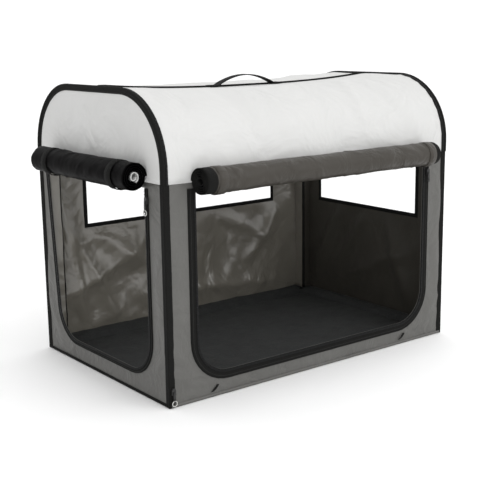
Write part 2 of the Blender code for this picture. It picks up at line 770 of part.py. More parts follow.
def rolled_doors():
    front_y = -half_depth - roll_stand(ROLL_RADIUS)
    side_x = -half_length - roll_stand(SIDE_ROLL_RADIUS)

    def front(along, out, up):
        return Vector((along, front_y - out, front_roll_z + up))

    def side(along, out, up):
        return Vector((side_x - out, along, side_roll_z + up))

    door_roll("front_door", FRONT_ROLL_SPAN, ROLL_RADIUS, dark_cloth, front)
    door_roll("side_door", SIDE_ROLL_SPAN, SIDE_ROLL_RADIUS, black_net, side)
    roll_ties("front_door", FRONT_ROLL_SPAN, ROLL_RADIUS, front, FRONT_TIE_SHARES)
    roll_ties("side_door", SIDE_ROLL_SPAN, SIDE_ROLL_RADIUS, side, SIDE_TIE_SHARES)


def zip_slider(name, parent, place, out, across):
    """A slider on its tape with a pull tab hinged at its lower end; out and across are unit vectors."""
    out, across = Vector(out), Vector(across)
    up = Vector((0, 0, 1))
    body = empty(f"{name}_slider_body", place, parent)
    half = SLIDER_WIDTH / 2
    base_z = -SLIDER_HEIGHT / 2
    foot = [(-half, base_z), (half, base_z), (half, SLIDER_SHOULDER)]
    head = [(half / 2, SLIDER_HEIGHT / 2), (-half / 2, SLIDER_HEIGHT / 2), (-half, SLIDER_SHOULDER)]
    bm = bmesh.new()
    slab(bm, foot + head, [], lambda a, b, depth: a * across + b * up + depth * out, SLIDER_THICKNESS)
    add(f"{name}_slider", bm, zip_metal, body, place)
    pivot = Vector(place) + out * (SLIDER_THICKNESS + TOUCH + PULL_THICKNESS / 2)
    swing = empty(f"{name}_pull_body", tuple(pivot), body)
    half = PULL_WIDTH / 2
    neck = half * PULL_NECK_SHARE
    neck_z = -PULL_LENGTH * PULL_NECK_LENGTH_SHARE
    tab = [(-neck, 0), (-half, neck_z), (-half, -PULL_LENGTH), (half, -PULL_LENGTH), (half, neck_z), (neck, 0)]
    low, high = (-PULL_LENGTH * share for share in PULL_SLOT_ENDS)
    slot = rectangle((-half * PULL_SLOT_SHARE, low), (half * PULL_SLOT_SHARE, high))
    start = -PULL_THICKNESS / 2

    def to_tab(a, b, depth):
        return a * across + b * up + (start + depth) * out

    bm = bmesh.new()
    slab(bm, tab, [slot], to_tab, PULL_THICKNESS)
    add(f"{name}_pull", bm, zip_metal, swing, tuple(pivot))


def main():
    frame()
    floor()
    walls()
    zip_tapes()
    inner = front_plane(cloth_y - TOUCH)
    window_set("back", BACK_WINDOW_HALF, BACK_NET_CELLS, front_plane(cloth_y + SKIN - NET_INSET), inner, -1)
    inner = end_plane(cloth_x - TOUCH)
    window_set("right", END_WINDOW_HALF, END_NET_CELLS, end_plane(cloth_x + SKIN - NET_INSET), inner, -1)
    bindings()
    roof()
    handle()
    rolled_doors()
    drop = SLIDER_HEIGHT / 2 + SLIDER_DROP
    tape_face = half_depth + 2 * TOUCH + BINDING
    place = (DOOR_HALF_WIDTH - DOOR_TAPE / 2, -tape_face, front_roll_z - ROLL_RADIUS - drop)
    zip_slider("front_zip", top_frame, place, (0, -1, 0), (1, 0, 0))
    tape_face = half_length + 2 * TOUCH + BINDING
    place = (-tape_face, -SIDE_HALF_WIDTH + SIDE_TAPE / 2, side_roll_z - SIDE_ROLL_RADIUS - drop)
    zip_slider("side_zip", top_frame, place, (-1, 0, 0), (0, 1, 0))
    tape_face = half_depth + 2 * TOUCH + BINDING
    place = (-half_length + BINDING_WIDTH / 2, -tape_face, COVER_SLIDER_LIFT + PULL_LENGTH)
    zip_slider("cover_zip", base, place, (0, -1, 0), (1, 0, 0))


main()
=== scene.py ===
import math

import bmesh
import bpy
import mathutils
from mathutils import Matrix, Vector


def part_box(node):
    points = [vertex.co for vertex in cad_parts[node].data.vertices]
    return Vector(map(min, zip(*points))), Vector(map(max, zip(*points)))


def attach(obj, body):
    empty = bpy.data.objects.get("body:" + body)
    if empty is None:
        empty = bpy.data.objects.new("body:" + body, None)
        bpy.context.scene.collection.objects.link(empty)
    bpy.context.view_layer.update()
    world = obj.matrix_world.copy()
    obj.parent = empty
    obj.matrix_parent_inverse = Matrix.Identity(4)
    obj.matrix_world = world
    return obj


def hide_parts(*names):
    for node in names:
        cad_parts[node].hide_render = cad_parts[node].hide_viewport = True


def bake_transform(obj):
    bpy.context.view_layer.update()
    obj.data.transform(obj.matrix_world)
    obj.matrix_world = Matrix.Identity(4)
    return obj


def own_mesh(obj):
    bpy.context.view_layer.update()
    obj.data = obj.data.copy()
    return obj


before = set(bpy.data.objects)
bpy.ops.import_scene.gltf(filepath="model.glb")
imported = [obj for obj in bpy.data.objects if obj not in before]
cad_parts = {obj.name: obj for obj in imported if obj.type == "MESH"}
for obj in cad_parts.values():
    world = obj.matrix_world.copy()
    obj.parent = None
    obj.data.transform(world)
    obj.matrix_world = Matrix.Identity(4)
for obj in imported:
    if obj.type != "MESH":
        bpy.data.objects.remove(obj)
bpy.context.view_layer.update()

# The camera stands to the left of the front door and a little above the roof, and looks down at the mat.
# Its place, its turns and its lens come from the crate's corners in the photograph.
CAMERA_PLACE = Vector((-1.421, -1.836, 0.737))
CAMERA_TURN = math.radians(37.36)
CAMERA_DIP = math.radians(11.85)
CAMERA_ROLL = math.radians(-0.845)
FOCAL_PIXELS = 989.5
FRAME_PIXELS = 480
SENSOR_MM = 36.0

ahead = Vector((
    math.sin(CAMERA_TURN) * math.cos(CAMERA_DIP),
    math.cos(CAMERA_TURN) * math.cos(CAMERA_DIP),
    -math.sin(CAMERA_DIP),
))
level = Vector((math.cos(CAMERA_TURN), -math.sin(CAMERA_TURN), 0.0))
overhead = level.cross(ahead)
right = level * math.cos(CAMERA_ROLL) + overhead * math.sin(CAMERA_ROLL)
up = overhead * math.cos(CAMERA_ROLL) - level * math.sin(CAMERA_ROLL)
lens = bpy.data.cameras.new("photo_camera")
lens.sensor_width = SENSOR_MM
lens.lens = FOCAL_PIXELS / FRAME_PIXELS * SENSOR_MM
camera = bpy.data.objects.new("photo_camera", lens)
turned = Matrix((right, up, -ahead)).transposed().to_4x4()
camera.matrix_world = Matrix.Translation(CAMERA_PLACE) @ turned
bpy.context.scene.collection.objects.link(camera)
bpy.context.scene.camera = camera

# Soft studio light: a white room that is dimmer on the side door's side, a large panel over the front
# and a weak one low on the left. The view is left plain so that the greys of the cloth stay as they are.
ROOM_LIGHT = 1.35
ROOM_STOPS = ((-0.9, 0.58), (-0.35, 0.78), (0.2, 1.0))
PANELS = (("key_panel", (0.5, -2.3, 1.9), 16, 1.8), ("fill_panel", (-1.9, -0.9, 0.7), 2.5, 1.2))
LIT_PLACE = Vector((0, 0, 0.25))

world = bpy.data.worlds.new("studio")
world.use_nodes = True
room = world.node_tree
heading = room.nodes.new("ShaderNodeSeparateXYZ")
room.links.new(room.nodes.new("ShaderNodeTexCoord").outputs["Generated"], heading.inputs[0])
spread = room.nodes.new("ShaderNodeMapRange")
spread.inputs["From Min"].default_value = -1
room.links.new(heading.outputs["X"], spread.inputs["Value"])
shade = room.nodes.new("ShaderNodeValToRGB")
shade.color_ramp.elements.new(0.5)
for stop, (at, brightness) in zip(shade.color_ramp.elements, ROOM_STOPS):
    stop.color = (brightness, brightness, brightness, 1)
for i in (1, 0, 2):
    shade.color_ramp.elements[i].position = (ROOM_STOPS[i][0] + 1) / 2
room.links.new(spread.outputs["Result"], shade.inputs["Fac"])
room.links.new(shade.outputs["Color"], room.nodes["Background"].inputs["Color"])
room.nodes["Background"].inputs["Strength"].default_value = ROOM_LIGHT
bpy.context.scene.world = world
bpy.context.scene.view_settings.view_transform = "Standard"
for name, place, watts, size in PANELS:
    panel = bpy.data.lights.new(name, "AREA")
    panel.energy = watts
    panel.size = size
    lamp = bpy.data.objects.new(name, panel)
    lamp.location = place
    lamp.rotation_mode = "QUATERNION"
    lamp.rotation_quaternion = (LIT_PLACE - Vector(place)).to_track_quat("-Z", "Y")
    bpy.context.scene.collection.objects.link(lamp)


# The four walls are dark-grey polyester, plain woven and a little creased from being folded away. They are
# cut flat, sewn into the bindings at their edges, and hang a little loose between them.
CLOTH = 0.0010
CUT_SPACING = 0.007
FRONT_TAPE_WIDTH = 0.026
SIDE_TAPE_WIDTH = 0.020
FRONT_CORNER = 0.100
SIDE_CORNER = 0.095
HEADER = 0.012
SEAM_EDGE = 0.012
SEWN_EDGE = 0.03
WINDOW_EDGE = 0.035
OUTER_RIPPLE = 0.0012
INNER_RIPPLE = 0.0020
DIP = 0.0006
LEAST_CLOTH_SHARE = 0.31

front_low, front_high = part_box("front_wall")
back_low, back_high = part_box("back_wall")
left_low, left_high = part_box("left_wall")
right_low, right_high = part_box("right_wall")
roof_low, roof_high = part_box("roof_cover")
front_tape_low, front_tape_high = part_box("front_door_zip_tape")
side_tape_low, side_tape_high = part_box("side_door_zip_tape")
net_low, net_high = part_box("back_window_net")
end_net_low, end_net_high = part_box("right_window_net")
split_z = roof_low.z
half_x = CLOTH - left_high.x
half_y = -front_low.y
side_lean = side_tape_high.y + side_tape_low.y
front_door = (front_tape_high.x, front_tape_low.z, FRONT_CORNER)
side_door = (-side_tape_low.y, side_tape_low.z, SIDE_CORNER)


class Sock:
    """A shader value that can be written in plain sums."""

    def __init__(self, tree, socket):
        self.tree = tree
        self.socket = socket

    def node(self, kind, settings, links):
        made = self.tree.nodes.new(kind)
        for key, value in settings.items():
            setattr(made, key, value)
        for key, value in links.items():
            if isinstance(value, Sock):
                self.tree.links.new(value.socket, made.inputs[key])
            else:
                made.inputs[key].default_value = value
        return Sock(self.tree, made.outputs[0])

    def sum_of(self, operation, other=0.0):
        return self.node("ShaderNodeMath", {"operation": operation}, {0: self, 1: other})

    def __add__(self, other):
        return self.sum_of("ADD", other)

    __radd__ = __add__

    def __mul__(self, other):
        return self.sum_of("MULTIPLY", other)

    __rmul__ = __mul__

    def sine(self):
        return self.sum_of("SINE")

    def axes(self):
        """A place's three coordinates, one by one."""
        split = self.node("ShaderNodeSeparateXYZ", {}, {0: self}).socket.node
        return [Sock(self.tree, output) for output in split.outputs]

    def mottle(self, scale, detail=2.0, distortion=0.0):
        """Uneven light and dark at a place, with so many patches to the metre."""
        links = {"Vector": self, "Scale": scale, "Detail": detail, "Distortion": distortion}
        return self.node("ShaderNodeTexNoise", {}, links)


def finish_named(name, roughness, metallic=0.0, sheen=0.0, gloss=0.5):
    """A new material, its shader and a way in to its Object coordinates."""
    made = bpy.data.materials.new(name)
    made.use_nodes = True
    shader = made.node_tree.nodes["Principled BSDF"]
    shader.inputs["Roughness"].default_value = roughness
    shader.inputs["Metallic"].default_value = metallic
    shader.inputs["Sheen Weight"].default_value = sheen
    shader.inputs["Specular IOR Level"].default_value = gloss
    places = made.node_tree.nodes.new("ShaderNodeTexCoord")
    return made, shader, Sock(made.node_tree, places.outputs["Object"])


def blended(shader, share, dark, light):
    """Base Color from two colours by a share."""
    tree = share.tree
    mix = tree.nodes.new("ShaderNodeMix")
    mix.data_type = "RGBA"
    tree.links.new(share.socket, mix.inputs["Factor"])
    mix.inputs["A"].default_value = (*dark, 1)
    mix.inputs["B"].default_value = (*light, 1)
    tree.links.new(mix.outputs["Result"], shader.inputs["Base Color"])


def raised(shader, height, strength, distance):
    """A bump from a height value."""
    bump = height.node("ShaderNodeBump", {}, {"Strength": strength, "Distance": distance, "Height": height})
    bump.tree.links.new(bump.socket, shader.inputs["Normal"])


def woven(
    name, dark, light, roughness, relief, sheen=0.04, gloss=0.35, crease=0.0, creases=9.0, pitch=0.0011
):
    """Plain woven cloth: crossing threads, a fine slub, a slow change of shade, and creases from folding."""
    made, shader, place = finish_named(name, roughness, sheen=sheen, gloss=gloss)
    x, y, z = place.axes()
    turn = 2 * math.pi / pitch
    warp = ((x + y) * turn).sine()
    weft = ((z + y * 0.37) * turn).sine()
    slub = place.mottle(900.0)
    blended(shader, place.mottle(7.0, detail=3.0) * 0.5 + slub * 0.5, dark, light)
    rumple = place.mottle(creases, detail=3.0, distortion=0.8)
    weave = (warp * weft * 0.35 + slub) * (pitch * 0.4 * relief)
    raised(shader, weave + rumple * crease, 1.0, 1.0)
    return made


def show(name, bm, look, body, smooth=60):
    """A mesh piece at the origin that rides on its body, if it is given one."""
    mesh = bpy.data.meshes.new(name)
    bm.to_mesh(mesh)
    bm.free()
    mesh.shade_smooth()
    mesh.set_sharp_from_angle(angle=math.radians(smooth))
    for finish in look if isinstance(look, list) else [look]:
        mesh.materials.append(finish)
    made = bpy.data.objects.new(name, mesh)
    bpy.context.scene.collection.objects.link(made)
    if body:
        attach(made, body)
    return made


def thickened(obj, thickness):
    """Gives a flat cut its thickness, half to each side."""
    solid = obj.modifiers.new("cloth_thickness", "SOLIDIFY")
    solid.thickness = thickness
    solid.offset = 0.0
    return obj


def fold_flat(obj, body):
    """Gives a piece its own copy of its mesh."""
    if body == "base":
        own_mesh(obj)
    else:
        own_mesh(obj)


def noise(x, y, z=0.0):
    return mathutils.noise.fractal(Vector((x, y, z)), 0.8, 2.1, 4)


def fade(gap, width):
    """0 where the gap closes, rising to 1 where it is the width or more."""
    return max(0.0, min(1.0, gap / width))


def fold(u, v, start, end, width, height):
    """The height at u, v of a soft fold that runs from start to end and fades at both ends."""
    run = Vector(end) - Vector(start)
    along = fade((Vector((u, v)) - Vector(start)).dot(run), run.length_squared)
    gap = (Vector((u, v)) - (Vector(start) + run * along)).length
    return height * math.exp(0.5 - math.hypot(gap / width, 0.5)) * math.sin(math.pi * (0.15 + 0.7 * along))


def corner_arc(centre, radius, first, last, steps=10):
    angles = [math.radians(first + (last - first) * i / steps) for i in range(steps + 1)]
    return [(centre[0] + radius * math.cos(a), centre[1] + radius * math.sin(a)) for a in angles]


def inset(door, width):
    """A doorway's half width, sill and corner radius, drawn in by a width."""
    half, sill, corner = door
    return half - width, sill + width, corner - width


def doorway(half, sill, corner, top, lean=0.0):
    """A doorway's outline: level top and round lower corners. Its second side leans outwards."""
    first_corner = corner_arc((-half + corner, sill + corner), corner, 180, 270)
    second_corner = corner_arc((half - corner, sill + corner), corner, 270, 360)
    return [(-half, top), *first_corner, *second_corner, (half + lean, top)]


def oblong(low, high):
    return [(low[0], low[1]), (high[0], low[1]), (high[0], high[1]), (low[0], high[1])]


def inside_area(points):
    total = 0.0
    for (x0, y0), (x1, y1) in zip(points, points[1:] + points[:1]):
        total += x0 * y1 - x1 * y0
    return abs(total) / 2


def cut_cloth(outline, holes):
    """A flat cut of cloth with its holes, cross-cut finely enough to take folds."""
    bm = bmesh.new()
    rim = []
    for loop in [outline, *holes]:
        corners = [bm.verts.new((x, y, 0)) for x, y in loop]
        for i, corner in enumerate(corners):
            rim.append(bm.edges.new((corner, corners[(i + 1) % len(corners)])))
    bmesh.ops.triangle_fill(bm, use_beauty=True, edges=rim)
    for axis in (0, 1):
        low = min(p[axis] for p in outline)
        high = max(p[axis] for p in outline)
        for i in range(1, int((high - low) / CUT_SPACING)):
            point, normal = Vector((0, 0, 0)), Vector((0, 0, 0))
            point[axis] = low + i * CUT_SPACING
            normal[axis] = 1
            everything = bm.verts[:] + bm.edges[:] + bm.faces[:]
            bmesh.ops.bisect_plane(bm, geom=everything, dist=1e-6, plane_co=point, plane_no=normal)
    bmesh.ops.recalc_face_normals(bm, faces=bm.faces)
    return bm


def calm(u, v, low, high, margin):
    """1 inside the cloth, fading to 0 at its sewn edges."""
    return fade(min(u - low[0], high[0] - u, v - low[1], high[1] - v), margin)


def beyond(u, v, half, sill, corner):
    """How far a point lies outside a doorway's outline."""
    across, below = abs(u) - (half - corner), sill + corner - v
    if across > 0 and below > 0:
        return math.hypot(across, below) - corner
    return max(across, below) - corner


def door_wall_place(plane, edges, door, door_edge, folds, seed):
    """Where the cloth round a door lies: flat at its seams and its zip tape, with soft folds between."""

    def place(u, v):
        loose = calm(u, v, *edges, SEAM_EDGE) * fade(beyond(u, v, *door), door_edge)
        out = OUTER_RIPPLE * noise(u * 14, v * 9, seed)
        for crease in folds:
            out += fold(u, v, *crease)
        return plane(u, v, max(-DIP, out) * loose)

    return place


def window_wall_place(plane, edges, window, bag, pull, folds, seed):
    """Where the cloth round a window lies: flat at its seams and a little out for the wall. A slack lining
    hangs inwards by its bag, which is a least depth, an unevenness and its waves, with deeper folds."""
    least, uneven, waves = bag

    def place(u, v, slack=0.0):
        gap = max(window[0][0] - u, u - window[1][0], window[0][1] - v, v - window[1][1], 0.0)
        free = calm(u, v, *edges, SEWN_EDGE) * fade(gap, WINDOW_EDGE)
        out = 0.0008 + INNER_RIPPLE * noise(u * 6, v * 5, seed)
        inward = least + uneven * noise(u * waves, v * (waves - 1), seed + 1.0)
        for crease in folds:
            inward += pull * fold(u, v, *crease)
        return plane(u, v, max(0.0, out) * free - slack * max(0.0, inward) * free)

    return place


FRONT_FOLDS = (
    ((-0.395, 0.125), (-0.345, 0.060), 0.008, 0.0036),
    ((-0.392, 0.075), (-0.330, 0.030), 0.007, 0.0032),
    ((-0.376, 0.235), (-0.364, 0.120), 0.008, 0.0032),
    ((-0.390, 0.380), (-0.368, 0.255), 0.008, 0.0028),
    ((-0.360, 0.015), (-0.250, 0.012), 0.006, 0.0026),
    ((0.395, 0.110), (0.340, 0.045), 0.008, 0.0036),
    ((0.385, 0.060), (0.300, 0.018), 0.007, 0.0030),
    ((0.374, 0.260), (0.384, 0.130), 0.008, 0.0030),
    ((0.372, 0.400), (0.388, 0.290), 0.008, 0.0026),
    ((-0.120, 0.012), (0.060, 0.014), 0.006, 0.0024),
)
SIDE_FOLDS = (
    ((-0.250, 0.110), (-0.205, 0.050), 0.008, 0.0032),
    ((0.250, 0.130), (0.200, 0.060), 0.008, 0.0034),
    ((-0.232, 0.300), (-0.238, 0.150), 0.007, 0.0028),
    ((0.232, 0.260), (0.246, 0.140), 0.007, 0.0030),
    ((-0.150, 0.016), (0.020, 0.014), 0.007, 0.0026),
)
BACK_FOLDS = (
    ((-0.37, 0.40), (-0.31, 0.06), 0.016, 0.0085),
    ((-0.33, 0.27), (-0.22, 0.05), 0.014, 0.0060),
    ((-0.27, 0.27), (-0.08, 0.13), 0.018, 0.0065),
    ((-0.18, 0.15), (0.02, 0.20), 0.016, -0.0040),
    ((-0.05, 0.27), (0.04, 0.05), 0.017, 0.0060),
    ((0.08, 0.27), (0.30, 0.17), 0.015, 0.0055),
    ((0.20, 0.13), (0.31, 0.27), 0.013, 0.0050),
    ((-0.15, 0.09), (0.28, 0.06), 0.017, 0.0050),
    ((-0.36, 0.12), (-0.17, 0.20), 0.013, 0.0045),
)
END_FOLDS = (
    ((0.10, 0.27), (0.19, 0.08), 0.014, 0.0065),
    ((-0.08, 0.27), (-0.16, 0.06), 0.016, 0.0060),
    ((-0.18, 0.20), (0.04, 0.10), 0.014, 0.0050),
    ((0.00, 0.26), (0.10, 0.12), 0.013, 0.0040),
)
wall_edges = ((front_low.x, front_low.z), (front_high.x, front_high.z))
end_edges = ((left_low.y, left_low.z), (left_high.y, left_high.z))
back_window = ((net_low.x, net_low.z), (net_high.x, net_high.z))
end_window = ((end_net_low.y, end_net_low.z), (end_net_high.y, end_net_high.z))


def on_front(x, z, out):
    return Vector((x, front_low.y + CLOTH / 2 - out, z))


def on_left(y, z, out):
    return Vector((left_low.x + CLOTH / 2 - out, y, z))


def on_back(x, z, out=0.0):
    return Vector((x, back_high.y - CLOTH / 2 + out, z))


def on_right(y, z, out=0.0):
    return Vector((right_high.x - CLOTH / 2 + out, y, z))


front_place = door_wall_place(on_front, wall_edges, front_door, door_edge=0.010, folds=FRONT_FOLDS, seed=3.1)
side_place = door_wall_place(on_left, end_edges, side_door, door_edge=0.008, folds=SIDE_FOLDS, seed=7.7)
back_place = window_wall_place(
    on_back, wall_edges, back_window, bag=(0.004, 0.010, 7), pull=2.6, folds=BACK_FOLDS, seed=1.3
)
right_place = window_wall_place(
    on_right, end_edges, end_window, bag=(0.003, 0.005, 6), pull=2.0, folds=END_FOLDS, seed=5.9
)
dark_cloth = woven(
    "dark_grey_polyester", (0.086, 0.085, 0.080), (0.126, 0.124, 0.117), 0.50, 0.10,
    gloss=0.3, crease=0.008, creases=20.0,
)


def hung(name, outline, hole, place, look, thickness, node=None):
    """One layer of a wall: cut flat, laid in its place and sewn into the bindings at its edges."""
    bm = cut_cloth(outline, [hole])
    for vert in bm.verts:
        vert.co = place(vert.co.x, vert.co.y)
    layer = thickened(show(name, bm, look, "base"), thickness)
    if node:
        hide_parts(node)
    size = (outline[1][0] - outline[0][0], outline[2][1] - outline[1][1])
    area = max(inside_area(outline) - inside_area(hole), LEAST_CLOTH_SHARE * inside_area(outline))
    fold_flat(layer, "base")


front_hole = doorway(*inset(front_door, FRONT_TAPE_WIDTH), split_z - HEADER)
side_hole = doorway(*inset(side_door, SIDE_TAPE_WIDTH), split_z - HEADER, side_lean)
back_hole, end_hole = oblong(*back_window), oblong(*end_window)
for wall, edges, hole, place in (
    ("front_wall", wall_edges, front_hole, front_place),
    ("back_wall", wall_edges, back_hole, back_place),
    ("left_wall", end_edges, side_hole, side_place),
    ("right_wall", end_edges, end_hole, right_place),
):
    hung(f"{wall}_cloth", oblong(*edges), hole, place, dark_cloth, CLOTH, wall)


# The lining is a second layer inside the back and right walls, of slack, slightly shiny olive-grey cloth.
# The right wall's is a copy of it with painted shade: darker, for the shade inside that wall, and duller.
LINING = 0.0006
LINING_GAP = 0.0012
LINING_INSET = 0.003
lining_cloth = woven(
    "lining_polyester", (0.135, 0.125, 0.105), (0.20, 0.187, 0.158), 0.28, 0.06, gloss=0.9, crease=0.012
)
# Painted shade: the lining cloth made darker, for the shade that falls inside the right wall.
painted_shade_lining = woven(
    "shaded_lining_polyester", (0.030, 0.0274, 0.0225), (0.052, 0.048, 0.0403), 0.42, 0.06,
    gloss=0.15, crease=0.006,
)
for name, (low, high), hole, place, inward, look in (
    ("back_lining", wall_edges, back_hole, back_place, Vector((0, -1, 0)), lining_cloth),
    ("right_lining", end_edges, end_hole, right_place, Vector((-1, 0, 0)), painted_shade_lining),
):
    outline = oblong([edge + LINING_INSET for edge in low], [edge - LINING_INSET for edge in high])
    hung(name, outline, hole, lambda u, v: place(u, v, slack=1.0) + inward * LINING_GAP, look, LINING)


# A sleeve of lining goes round the leg tubes in each corner, from the mat's border to the roof. A narrow
# black strip runs down its inner corner.
KNEE_HIGH = 0.2355
KNEE_GATHER = 0.012
SLEEVE_X = 0.3715
SLEEVE_Y = 0.2185
SLEEVE_CORNER = 0.007
SLEEVE_FOOT = 0.027
SLEEVE_HEAD_GAP = 0.004
SLEEVE_STEPS = 44
SEAM_CLEAR = 0.0008
SIDES = (("left", -1), ("right", 1))


def ribbed(name, dark, light, rib, relief):
    """Woven tape: fine ribs and a little dust in the weave."""
    made, shader, place = finish_named(name, 0.8, gloss=0.12)
    x, y, z = place.axes()
    ribs = ((x + y + z) * (2 * math.pi / rib)).sine()
    dust = place.mottle(420.0, detail=3.0)
    blended(shader, dust, dark, light)
    raised(shader, ribs * 0.4 + dust, relief, rib * 0.5)
    return made


def sweep(bm, rings, closed_ring=False, closed_path=False):
    """Draws a strip along rings of points: the first is laid down, and each next one is extruded from it."""

    def sides(row):
        return list(zip(row, row[1:] + row[:1] if closed_ring else row[1:]))

    row = [bm.verts.new(point) for point in rings[0]]
    rows = [row]
    edges = [bm.edges.new(pair) for pair in sides(row)]
    for ring in rings[1:]:
        fresh = set(bmesh.ops.extrude_edge_only(bm, edges=edges)["geom"])
        ways = [[edge.other_vert(old) for edge in old.link_edges] for old in row]
        row = [next(vert for vert in way if vert in fresh) for way in ways]
        for vert, point in zip(row, ring):
            vert.co = point
        rows.append(row)
        edges = [bm.edges.get(pair) for pair in sides(row)]
    if closed_path:
        bmesh.ops.bridge_loops(bm, edges=edges + [bm.edges.get(pair) for pair in sides(rows[0])])
    bmesh.ops.recalc_face_normals(bm, faces=bm.faces)
    return rows


black_tape = ribbed("black_binding_tape", (0.004, 0.004, 0.0038), (0.010, 0.010, 0.0092), 0.0016, 0.35)
wall_x, wall_y = half_x - CLOTH - SEAM_CLEAR, half_y - CLOTH - SEAM_CLEAR
bend = corner_arc((SLEEVE_X + SLEEVE_CORNER, SLEEVE_Y + SLEEVE_CORNER), SLEEVE_CORNER, 180, 270, 6)
down = [(SLEEVE_X, wall_y + (bend[0][1] - wall_y) * j / 8) for j in range(8)]
over = [(bend[-1][0] + (wall_x - bend[-1][0]) * j / 6, SLEEVE_Y) for j in range(1, 7)]
path = down + bend + over
middle = len(down) + 3
for side_name, side in SIDES:
    for edge_name, edge in (("front", -1), ("back", 1)):
        rings = []
        for i in range(SLEEVE_STEPS + 1):
            z = SLEEVE_FOOT + (split_z - SLEEVE_HEAD_GAP - SLEEVE_FOOT) * i / SLEEVE_STEPS
            ring = []
            for j, (x, y) in enumerate(path):
                slack = math.sin(math.pi * j / (len(path) - 1)) ** 0.5
                push = 0.0008 + 0.0016 * max(0.0, noise(x * 60 + side, z * 11 + y * 40, edge * 2.0))
                ring.append(Vector((side * (x - push * slack), edge * (y - push * slack), z)))
            rings.append(ring)
        bm = bmesh.new()
        for row in sweep(bm, rings):
            for verts, look_number in ((row[middle:], 1), (row[middle - 1:middle + 2], 2)):
                for vert in verts:
                    for face in vert.link_faces:
                        face.material_index = look_number
        # On the right, the sleeve's half next to the right wall takes the lining with painted shade, like
        # that wall.
        looks = [lining_cloth, painted_shade_lining if side > 0 else lining_cloth, black_tape]
        sleeve = thickened(show(f"corner_sleeve_{edge_name}_{side_name}", bm, looks, None), LINING)
        size = (wall_y - SLEEVE_Y + wall_x - SLEEVE_X, split_z - SLEEVE_FOOT)
        below, above = (0, 0, KNEE_HIGH - KNEE_GATHER), (0, 0, KNEE_HIGH + KNEE_GATHER)
        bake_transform(sleeve)
        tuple(below)
        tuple(above)


# The windows are open nets held in black bindings that are sewn to the inside of the wall. Their yarn is
# pale and very thin, so that from a step away only the binding shows.
NET_PITCH = 0.0125
YARN = 0.00035
BIND_HALF = 0.0050
BIND_HEIGHT = 0.0009
BIND_CLEAR = 0.001
BIND_SECTION = ((-1, 0), (-0.85, 1), (0, 1.3), (0.85, 1), (1, 0), (0, -0.9))
BIND_STEPS = 16
yarn, yarn_shader, _ = finish_named("pale_monofilament", 0.3)
yarn_shader.inputs["Base Color"].default_value = (0.9, 0.9, 0.9, 1)
yarn_shader.inputs["Alpha"].default_value = 0.16


def sewn(name, bm, look, body, node=None, smooth=60):
    """A piece that is sewn to the walls or the roof, and rides on their body."""
    made = show(name, bm, look, body, smooth)
    if node:
        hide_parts(node)
    fold_flat(made, body)


def block(bm, place, size, turned=Matrix.Identity(4)):
    """One small straight piece, such as a yarn, a stitch or a zip tooth."""
    placed = Matrix.Translation(place) @ turned @ Matrix.Diagonal((*size, 1))
    bmesh.ops.create_cube(bm, size=1.0, matrix=placed)


def tube(rings, closed_path=False):
    """A closed strip through rings of points, joined to its own start or filled at both ends."""
    bm = bmesh.new()
    sweep(bm, rings, closed_ring=True, closed_path=closed_path)
    if not closed_path:
        bmesh.ops.holes_fill(bm, edges=[edge for edge in bm.edges if edge.is_boundary], sides=0)
        bmesh.ops.recalc_face_normals(bm, faces=bm.faces)
    return bm


windows = (
    ("back_window", back_window, on_back, back_place, Vector((0, -1, 0))),
    ("right_window", end_window, on_right, right_place, Vector((-1, 0, 0))),
)
for name, (low, high), pane, _, _ in windows:
    bm = bmesh.new()
    for axis in (0, 1):
        span = high[axis] - low[axis]
        count = int(span / NET_PITCH)
        for i in range(1, count):
            ends = [list(low), list(high)]
            ends[0][axis] = ends[1][axis] = low[axis] + span * i / count
            start, end = pane(*ends[0]), pane(*ends[1])
            block(bm, (start + end) / 2, [max(abs(length), YARN) for length in end - start])
    sewn(f"{name}_net_yarns", bm, yarn, "base", f"{name}_net")

for name, (low, high), _, place, inward in windows:
    loop = oblong(low, high)
    middle_x, middle_y = (low[0] + high[0]) / 2, (low[1] + high[1]) / 2
    rings = []
    for (x0, y0), (x1, y1) in zip(loop, loop[1:] + loop[:1]):
        for k in range(BIND_STEPS):
            x, y = x0 + (x1 - x0) * k / BIND_STEPS, y0 + (y1 - y0) * k / BIND_STEPS
            at_x = abs(abs(x - middle_x) - abs(low[0] - middle_x)) < 1e-6
            at_y = abs(abs(y - middle_y) - abs(low[1] - middle_y)) < 1e-6
            out_x = math.copysign(BIND_HALF, x - middle_x) * at_x
            out_y = math.copysign(BIND_HALF, y - middle_y) * at_y
            ring = []
            for across, height in BIND_SECTION:
                proud = LINING_GAP + BIND_CLEAR + height * BIND_HEIGHT
                ring.append(place(x + out_x * across, y + out_y * across) + inward * proud)
            rings.append(ring)
    sewn(f"{name}_binding_tape", tube(rings, closed_path=True), black_tape, "base", f"{name}_binding")


# The mat is charcoal fleece over thin foam: a soft slab with rounded edges and a matted pile, laid loose
# on the floor panel and filling it from wall to wall. A fleece border goes on from it, over the base
# tubes and up to the walls.
MAT_ROUND = 0.012
MAT_EDGE_SHARE = 0.25
BORDER_CLEAR = 0.0006
BORDER_STEPS = 120
BORDER_END_SHARE = 0.72
BORDER_SLOPE = (
    (0.0, 0.0275), (0.010, 0.0272), (0.020, 0.0262), (0.028, 0.0246),
    (0.033, 0.0222), (0.038, 0.0182), (0.043, 0.0152), (0.050, 0.0140),
)
mat_low, mat_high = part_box("fleece_mat")
fleece, fleece_shader, fleece_place = finish_named("charcoal_fleece", 0.95, sheen=0.03, gloss=0.1)
pile = fleece_place.mottle(260.0, detail=4.0)
clump = fleece_place.mottle(38.0, detail=3.0)
blended(fleece_shader, pile * 0.6 + clump * 0.4, (0.014, 0.0147, 0.0145), (0.056, 0.0575, 0.057))
raised(fleece_shader, pile + clump, 0.8, 0.002)
bm = bmesh.new()
bmesh.ops.create_grid(bm, x_segments=110, y_segments=70, size=1.0)
